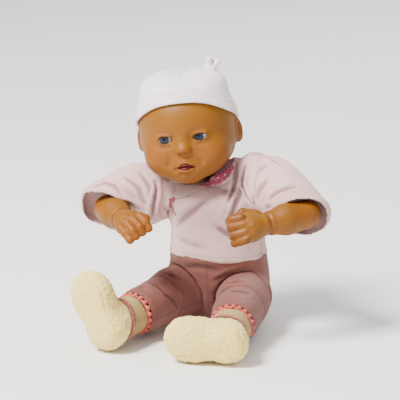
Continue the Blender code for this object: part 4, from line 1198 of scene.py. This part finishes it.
def build_sleeve(side):
    arm = ARMS[side]
    box_low, box_high = (np.array(v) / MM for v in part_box(f"sleeve_{side}"))
    grid = Grid(box_low - 20, box_high + 24, CLOTH_CELL)
    p = grid.point()
    out = arm.facing * grid.x
    body = np.where(out > SEAM_X - 20, shoulders(p), 50.0)
    tuck = 0.9 * soft_step(SEAM_X - out, -1.0, 0.6)
    body = join(body + tuck, SEAM_X - 5.0 - out, -1.2)
    mouth = sum((a - c) * float(n) for a, c, n in zip(p, arm.end, arm.mouth))
    body = join(body, mouth, -1.5)

    def pinned(q):
        return (arm.facing * q[:, 0] < SEAM_X + 2.0) | (arm.past_mouth(q) > -2.5)

    sleeve = swell(f"sleeve_knit_{side}", grid, body, PINK_KNIT, pinned, 4.0)
    q = positions(sleeve) / MM
    ends = (arm.past_mouth(q) > -1.9) | (arm.facing * q[:, 0] < SEAM_X - 3.6)
    open_end(sleeve, ends & (arm.field(q.T) < -1.4))

    def free(q):
        return soft_step(arm.facing * q[:, 0], SEAM_X + 1, SEAM_X + 12)

    rumple(sleeve, f"sleeve_{side}", 2.0, 30, 2.0 * arm.facing, 1.4, free)
    q = positions(sleeve) / MM
    edge = bell(arm.facing * q[:, 0] - SEAM_X - 1.2, 1.0)
    shade = 0.35 * bell(arm.past_mouth(q) + 7.5, 0.7) + 0.5 * edge + shade_of(sleeve)
    weave(sleeve, *wrap(sleeve, arm.shoulder, arm.along, arm.up, 28), shade)
    hand_over(sleeve, f"upper_arm_{side}", "knit_pink", f"sleeve_{side}", fill=0.5)


def lower_body(p):
    field = np.maximum(torso_field(p), p[2] - (WAIST + 1.5))
    for leg in LEGS.values():
        field = join(field, join(leg.field(p), -10.0 - leg.along(p), -6.0), 5.0)
    return join(field, -p[2], -3.0)


def leg_room(leg, p, front, grown):
    """Below zero in the part of the trousers that goes with a leg: ahead of its hip, round it."""
    return np.maximum(front - leg.along(p), leg.field(p) - grown)


def build_trousers():
    grid = Grid((-74, -84, -4), (74, 30, 90), CLOTH_CELL)
    p = grid.point()
    body = lower_body(p)
    for leg in LEGS.values():
        body = carve(body, leg_room(leg, p, 8.0, 3.0), 1.2)

    def pinned(q):
        front = [leg_room(leg, q.T, 3.0, 7.0) < 0 for leg in LEGS.values()]
        return front[0] | front[1] | (q[:, 2] > 78) | (q[:, 2] < 1.5)

    seat = swell("trouser_seat_cotton", grid, body, MAUVE, pinned, 3.0)
    q = positions(seat) / MM
    open_end(seat, (q[:, 2] > 81.2) & (torso_field(q.T) < -1.5))
    rumple(seat, "seat", 1.4, 28, 7.0, 1.4, lambda q: soft_step(q[:, 2], 3, 12))
    seam = bell(positions(seat)[:, 0] / MM, 0.9)
    weave(seat, *wrap(seat, (0, -20, 0), Z, -Y, 50), 0.6 * seam + shade_of(seat))
    hand_over(seat, "torso", "trouser_cloth", "trousers_seat", fill=0.7)


def build_trouser_leg(part, side, first, last, node):
    """One part of a leg: it runs from first to last, two stations measured from the hip."""
    leg = LEGS[side]
    corners = [np.array(leg.hip + leg.down * s) for s in (first, last)]
    low, high = np.minimum(*corners) - 40, np.maximum(*corners) + 40
    low[2] = max(low[2], -3)
    grid = Grid(low, high, CLOTH_CELL)
    p = grid.point()
    s = leg.along(p)
    body = np.where(leg.facing * grid.x > -9, lower_body(p), 50.0)
    body = body + 0.8 * (1 - soft_step(s, first + 4, first + 6))
    body = join(join(body, first - s, -1.2), s - last, -1.8)
    body = join(body, leg.field(p) - 2.6, -1.0)
    body = join(body, -0.8 - leg.facing * grid.x, -1.0)

    def pinned(q):
        s = leg.along(q.T)
        return (s < first + 7) | (s > last - 4) | (q[:, 2] < 2.5) | (leg.facing * q[:, 0] < 1.2)

    piece = swell(f"trouser_{part}_{side}", grid, body, MAUVE, pinned, 3.5)
    q = positions(piece) / MM
    s = leg.along(q.T)
    open_end(piece, ((s < first + 1.2) | (s > last - 1.6)) & (leg.field(q.T) < -1.6))

    def free(q):
        s = leg.along(q.T)
        return soft_step(s, first, first + 8) * (1 - soft_step(s, last - 8, last))

    rumple(piece, f"leg_{part}_{side}", 2.2, 34, 3.0 + leg.facing, 1.5, free)
    wale, course = wrap(piece, leg.hip, leg.down, leg.upright, 27)
    around = wale / (27 * MM)
    inseam = bell(np.abs(around) - 1.75, 0.035) * (around * leg.facing > 0)
    weave(piece, wale, course, 0.5 * inseam + 0.45 * bell(course / MM - 88.0, 0.8) + shade_of(piece))
    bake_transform(piece)
    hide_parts(f"{node}_{side}")


def build_trouser_legs(side):
    build_trouser_leg("upper", side, 4.0, LEG_JOIN, "trouser_thigh")
    build_trouser_leg("lower", side, LEG_JOIN - 5.0, 95.0, "trouser_shin")


# ---------------------------------------------------------------- stuffed bodies under the clothes
STUFFING_CELL = 2.6
COTTON = knit("body_cotton", (0.84, 0.76, 0.70), (0.70, 0.60, 0.54), 0.0012, 0.0002)


def ball(p, centre, radius):
    return np.sqrt(sum((a - c) ** 2 for a, c in zip(p, centre))) - radius


def stuff(name, grid, field, body, node):
    piece = sculpt(name, grid, field, COTTON)
    weave(piece, *wrap(piece, positions(piece).mean(axis=0) / MM, Z, -Y, 30))
    hand_over(piece, body, "body_cloth", node, fill=0.8)


def stuff_limb(name, body, start, end, radii):
    ends = np.array(start), np.array(end)
    grid = Grid(np.minimum(*ends) - 30, np.maximum(*ends) + 30, STUFFING_CELL)
    stuff(name, grid, limb(grid.point(), start, end, *radii), body, body)


def build_stuffing():
    grid = Grid((-56, -80, 0), (56, 24, 160), STUFFING_CELL)
    p = grid.point()
    field = torso_field(p) + 3.4
    for leg in LEGS.values():
        field = carve(field, ball(p, leg.hip, 31.0), 3.0)
        field = np.maximum(field, np.minimum(leg.along(p) + 2.0, 66.0 - p[2]))
    for node in ("module_case", "module_cover", "belly_sensor_housing", "neck_socket"):
        low, high = (np.array(v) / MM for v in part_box(node))
        half, middle = (high - low) / 2 + 0.8, (high + low) / 2
        gap = [np.abs(a - m) - h for a, m, h in zip(p, middle, half)]
        field = np.maximum(field, -np.maximum(np.maximum(gap[0], gap[1]), gap[2]))
    stuff("stuffed_torso", grid, field, "torso", "torso_body")
    for side, _ in SIDES:
        arm, leg = ARMS[side], LEGS[side]
        ends = arm.shoulder + arm.along * 19, arm.elbow - arm.along * 32
        stuff_limb(f"stuffed_arm_{side}", f"upper_arm_{side}", *ends, (17, 13))
        stuff_limb(f"stuffed_thigh_{side}", f"thigh_{side}", leg.hip, leg.hip + leg.down * 26, (25.0, 20.0))


# ---------------------------------------------------------------- forearms and hands
ROLL = {"left": 68.0, "right": 28.0}  # how far each thumb is turned upwards, in degrees
CURL = {"left": 1.0, "right": 0.72}  # how far each hand is closed
WRIST = 47.5  # from the elbow


def wrist_line(x, z):
    return x - WRIST + 0.12 * z


def hand_field(grid, curl):
    """Forearm and hand from the elbow along x, the thumb towards y, the hand's back towards z."""
    p = grid.point()
    d = model(
        limb(p, (0, 0, 0), (24, 0, 0.5), 15.5, 16.2),
        p,
        (5.0, (24, 0, 0.5), (44, 0, 0), 16.2, 12.6),
        (4.0, (44, 0, 0), (60, 0, 0), 11.6, 11.6),
        (6.0, (66, -0.5, 0.5), (14.5, 15.5, 11.2)),
    )
    d = d + 1.5 * bell(wrist_line(grid.x, grid.z), 1.9)
    for across, long in ((12.0, 1.0), (4.1, 1.08), (-4.0, 1.03), (-11.4, 0.90)):
        knuckle = (73.0 + 1.5 * long, across, 4.2)
        middle = (83.58 + 32.0 * (long - 1), across * 1.03 + 0.4, 0.5 - 2.5 * curl)
        bend = (83.5 + 12.0 * (1 - curl), across, -9.6 * curl - 3.0 * (1 - curl))
        tip = (73.5 + 14.0 * (1 - curl), across * 0.92, -12.0 * curl - 4.0 * (1 - curl))
        finger = limb(p, knuckle, middle, 4.9, 4.7)
        finger = model(finger, p, (1.5, middle, bend, 4.6, 4.3), (1.5, bend, tip, 4.3, 3.9))
        d = join(d, finger - 0.5 * bell(ball(p, middle, 0.0), 3.0), 1.5)
    thumb = limb(p, (56, 11.0, -1.0), (68, 17.2, -4.6), 6.6, 5.2)
    thumb = model(thumb, p, (2.0, (68, 17.2, -4.6), (78.5, 12.2, -9.4), 5.0, 4.4))
    d = join(d, thumb, 2.4)

    # dimples over the knuckles, grooves between the fingers, the thumb's nail
    for across in (12.4, 4.2, -4.1, -11.8):
        d = carve(d, ball(p, (71.0, across, 13.2), 2.4), 2.6)
    for across in (8.2, 0.1, -7.8):
        d = model(d, p, (-1.5, (76.0, across, 8.4), (92.5, across, -2.0), 0.45, 0.9))
    return model(d, p, (-0.6, (82.0, 13.6, -11.0), (2.6, 2.2, 1.6)))


def build_hand(side):
    arm = ARMS[side]
    width = arm.forward.cross(Z).normalized()
    thick = width.cross(arm.forward).normalized()
    inward = -width if width.x * arm.facing > 0 else width
    roll = math.radians(ROLL[side])
    thumb = inward * math.cos(roll) + thick * math.sin(roll)
    back = thick * math.cos(roll) - inward * math.sin(roll)
    place = axes_matrix(arm.elbow * MM, arm.forward, thumb, back)
    grid = Grid((-19, -25, -24), (97, 27, 23), 0.8)
    hand = sculpt(f"hand_skin_{side}", grid, hand_field(grid, CURL[side]), SKIN, place)
    x, _, z = (local(positions(hand), place) / MM).T
    blush = 0.6 * soft_step(x, 66, 88) + 0.35 * bell(x - 2, 12)
    valley = np.clip(shade_of(hand) * 1.2, 0, 1) + 0.5 * bell(wrist_line(x, z), 0.9)
    paint(hand, "blush", np.clip(blush, 0, 1))
    paint(hand, "shade", np.clip(valley, 0, 0.7))
    hand_over(hand, f"forearm_{side}", "vinyl_skin", f"forearm_hand_{side}")


# ---------------------------------------------------------------- slippers, in the foot's axes (mm)
ANKLE_Y = 0.3  # the cuff's middle
POMPOMS = 20
SOLE_STATIONS = (-63, -52, -38, -20, -6, 8, 20, 26)
SOLE_HALF_WIDTHS = (10, 21.5, 25.4, 23.6, 21.8, 22.4, 20.0, 8)
# The shaft's dark khaki is partly its own beige, partly painted shadow over it
CREAM = plush("cream_plush", (0.96, 0.80, 0.30), (0.82, 0.62, 0.17), (0.27, 0.17, 0.05))
CORAL = yarn("coral_yarn", (0.70, 0.11, 0.065), (0.42, 0.05, 0.035))


def slipper_field(p):
    x, y, z = p
    sole_half = np.interp(y, SOLE_STATIONS, SOLE_HALF_WIDTHS)
    toe = ellipsoid(p, (0, -34.5, -17.0), (25.6, 28.2, 18.2))
    heel = ellipsoid(p, (0, 2.5, -17.5), (22.4, 22.8, 19.0))
    middle = limb(p, (0, -20, -13), (0, -2, -10), 19.8, 20.0)
    d = join(join(toe, middle, 7.0), heel, 8.0)
    d = join(d, limb(p, (0, -0.5, -8), (0, 0.3, 40), 20.6, 21.6), 7.0)
    d = join(d, np.abs(x) - sole_half, -5.0)
    d = join(d, -34.2 - z, -7.0)
    return join(d, z - 31.2, -3.5)


def ribbon_look():
    """Printed ribbon: small tan flowers on coral between dark woven edges."""
    look = Look("printed_ribbon", 0.7, Sheen_Weight=0.2)
    ground = look.mottle(260, 3, (0.38, 0.07, 0.045), (0.27, 0.045, 0.035), 0.4, 0.65)
    printed = look.mix(look.spread(look.cells(420), 0.28, 0.36), (0.55, 0.36, 0.18), ground)
    edge = look.over(look.maths("ABSOLUTE", look.painted("across")), 0.78)
    look.set("Base Color", look.mix(edge, printed, (0.17, 0.045, 0.045)))
    weft = look.wave(look.painted("along"), 2 * math.pi / 0.0007)
    return look.relief(look.plus(weft, look.noise(900, 3)), 0.0002, 0.7)


RIBBON = ribbon_look()


def build_slipper(side):
    leg = LEGS[side]
    place = leg.place
    grid = Grid((-32, -70, -40), (32, 32, 37), 1.25)
    rim = np.sqrt(grid.x**2 + (grid.y - ANKLE_Y) ** 2)
    field = carve(slipper_field(grid.point()), np.maximum(rim - 17.9, 14.0 - grid.z), 1.0)
    slipper = sculpt(f"slipper_plush_{side}", grid, field, CREAM, place)
    z = local(positions(slipper), place)[:, 2] / MM
    puff(slipper, 3.0, 2.0, (z > 8) | (z < -33), 12)

    # curly pile, a dent in the toe, the seam above the sole
    p = positions(slipper)
    x, y, z = (local(p, place) / MM).T
    pile, fine = curls(p, 300, 2.0 + leg.facing), curls(p, 620, 9.0)
    free = soft_step(z, -36, -30) * 0.5 + 0.5
    shaded_cuff = soft_step(z, 2.0, 9.0)
    dent = 1.3 * ripple(p, 45, 4.0) - 1.2 * bell(x, 7) * bell(y + 50, 5) * (z > -16)
    lump = (0.55 - pile) * 1.7 * (1 - 0.55 * shaded_cuff) + (0.5 - fine) * 0.6
    seam = bell(z + 27.0, 0.9)
    inside_well = (np.hypot(x, y - ANKLE_Y) < 18.6) & (z > 12)
    move = np.where(inside_well, 0.0, lump * free + dent - 0.9 * seam)
    push(slipper, np.clip(move, -1.6, 1.6) * MM)
    # Painted shade: this mask darkens the hollows between the curls and the seam's groove above the sole
    paint(slipper, "curl", np.clip(pile * 0.9 + 0.2 * seam, 0, 1))
    # Painted shadow over the shaft above the foot, mixed with its own beige
    paint(slipper, "shaded_cuff", shaded_cuff * 0.85)
    hand_over(slipper, f"lower_leg_{side}", "plush_cream", f"slipper_{side}", fill=0.6)
    build_scallops(side, place)
    wind_ribbon(side, slipper, place)


def build_scallops(side, place):
    """Scalloped edge: a cord with a small pompom on each scallop."""
    grid = Grid((-26, -26, 28), (26, 27, 39), 0.6)
    x, y, z = grid.x, grid.y - ANKLE_Y, grid.z
    step = 2 * math.pi / POMPOMS
    nearest = np.round(np.arctan2(y, x) / step) * step
    cord = np.sqrt((np.sqrt(x**2 + y**2) - 20.4) ** 2 + (z - 32.6) ** 2) - 1.4
    gap2 = (x - 21.6 * np.cos(nearest)) ** 2 + (y - 21.6 * np.sin(nearest)) ** 2
    field = join(cord, np.sqrt(gap2 + (z - 33.2) ** 2) - 2.3, 0.8)
    trim = sculpt(f"slipper_pompoms_{side}", grid, field, CORAL, place, rounds=1)
    push(trim, (0.5 - curls(positions(trim), 900, 3.0)) * 0.9 * MM)
    hand_over(trim, f"lower_leg_{side}", "trim_coral", f"slipper_trim_{side}")


def wind_ribbon(side, slipper, place, columns=96, rows=9):
    """Ribbon round the ankle, higher in front, laid on the slipper's own surface."""
    angles = 2 * math.pi * np.arange(columns) / columns
    turn, share = np.meshgrid(angles, np.linspace(-1, 1, rows), indexing="ij")
    rays = np.stack([np.sin(turn), -np.cos(turn), 0 * turn], axis=-1).reshape(-1, 3)
    height = 5.0 + 6.0 * np.cos(turn) + 3.4 * share
    starts = np.stack([0 * turn, 0 * turn, height], axis=-1).reshape(-1, 3)
    tree = skin_tree(slipper)
    reach = []
    for start, ray in zip(starts, rays):
        far = place @ Vector((start + 50 * ray) * MM)
        gap = tree.ray_cast(far, -(place.to_3x3() @ Vector(ray)), 0.05)[3]
        reach.append(50 - (gap or 0.026) / MM)
    reach = np.array(reach).reshape(columns, rows)
    reach = np.maximum(reach, reach.mean(axis=1, keepdims=True))
    for _ in range(4):
        reach = np.maximum(reach, (np.roll(reach, 1, 0) + 2 * reach + np.roll(reach, -1, 0)) / 4)
    points = starts + rays * (reach + 1.0 - 0.4 * share**2).reshape(-1, 1)
    index = np.arange(columns * rows).reshape(columns, rows)
    after = np.roll(index, -1, 0)
    corners = index[:, :-1], index[:, 1:], after[:, 1:], after[:, :-1]
    faces = np.stack(corners, axis=-1).reshape(-1, 4)
    ribbon = add_mesh(f"slipper_ribbon_{side}", placed(points * MM, place), faces, RIBBON)
    paint(ribbon, "along", turn.ravel() * 0.024)
    paint(ribbon, "across", share.ravel())
    thicken(ribbon, 0.7)
    hand_over(ribbon, f"lower_leg_{side}", "ribbon_red", f"slipper_strap_{side}")


# ---------------------------------------------------------------- carried-over CAD parts
# Colour, roughness, metallic
CAD_LOOKS = {
    "white_plastic": ((0.80, 0.80, 0.78), 0.42, 0.0),
    "grey_plastic": ((0.33, 0.34, 0.36), 0.48, 0.0),
    "steel": ((0.60, 0.60, 0.62), 0.32, 1.0),
    "cell_wrap": ((0.09, 0.10, 0.12), 0.30, 0.0),
    "board_green": ((0.04, 0.23, 0.09), 0.45, 0.0),
    "speaker_black": ((0.035, 0.035, 0.035), 0.70, 0.0),
    "pinion_white": ((0.88, 0.87, 0.80), 0.38, 0.0),
    "vinyl_skin": ((0.235, 0.087, 0.005), 0.52, 0.0),
}
NECK_PARTS = ("neck_post", "neck_socket")  # what shows of them under the chin looks like skin


def dress_cad():
    """The hidden mechanical parts keep their CAD shapes and get worked materials."""
    made = {name: moulded(f"cad_{name}", *values) for name, values in CAD_LOOKS.items()}
    slots = {part["node"]: part["material_slot"] for part in RECORD["subparts"]}
    slots.update({name: "vinyl_skin" for name in NECK_PARTS})
    for name, obj in frame["nodes"].items():
        if slots.get(name) in made:
            for slot in obj.material_slots:
                slot.material = made[slots[name]]


# ---------------------------------------------------------------- stage
VIEW_ROLL = math.radians(0.55)
EYE_POINT = Vector((0.8424, -2.5972, 0.7779))  # the photograph's point of view
FRAME_FILL = 230.0  # lens in mm, so that the doll fills most of the frame
FLOOR_HALF = 6.0
LAMPS = (
    # name, place, size, watts, tint
    ("key", (-0.9, -1.3, 2.1), 0.8, 190, (1.0, 0.965, 0.92)),
    ("fill", (1.9, -1.6, 0.9), 1.8, 9, (1.0, 0.97, 0.94)),
    ("back", (0.3, 2.0, 1.5), 1.6, 34, (1.0, 1.0, 1.0)),
)


def aim(name, data, place, target, roll=0.0):
    """A lamp or camera that looks at the target."""
    obj = add_object(name, data)
    obj.location = place
    turned = (Vector(target) - Vector(place)).to_track_quat("-Z", "Y").to_matrix()
    obj.rotation_euler = (turned @ Matrix.Rotation(roll, 3, "Z")).to_euler()
    return obj


def build_stage():
    look = Look("studio_floor", 0.85)
    look.set("Base Color", look.mottle(3, 3, (0.90, 0.895, 0.89), (0.87, 0.865, 0.86)))
    sheet = look.relief(look.noise(120, 3), 0.0004, 0.2)
    corners = [(x, y, cad_low[2] - 0.0002) for x, y in ((-1, -1), (1, -1), (1, 1), (-1, 1))]
    corners = [(x * FLOOR_HALF, y * FLOOR_HALF, z) for x, y, z in corners]
    add_mesh("studio_floor", corners, [(0, 1, 2, 3)], sheet)
    middle = (Vector(cad_low) + Vector(cad_high)) / 2
    for name, place, size, watts, tint in LAMPS:
        light = assign(bpy.data.lights.new(name, "AREA"), size=size, energy=watts, color=tint)
        aim(name, light, place, middle)
    world = bpy.data.worlds.new("studio")
    bpy.context.scene.world = world
    world.use_nodes = True
    backdrop = world.node_tree.nodes["Background"]
    backdrop.inputs["Color"].default_value = (1.0, 0.985, 0.96, 1.0)
    backdrop.inputs["Strength"].default_value = 0.72
    camera = assign(bpy.data.cameras.new("photo_view"), lens=FRAME_FILL, sensor_width=36.0)
    bpy.context.scene.camera = aim("photo_view", camera, EYE_POINT, middle, VIEW_ROLL)


build_head()
build_eyes()
build_lips()
build_cap()
build_top()
build_trousers()
build_stuffing()
for side, _ in SIDES:
    build_sleeve(side)
    build_trouser_legs(side)
    build_hand(side)
    build_slipper(side)
dress_cad()
build_stage()
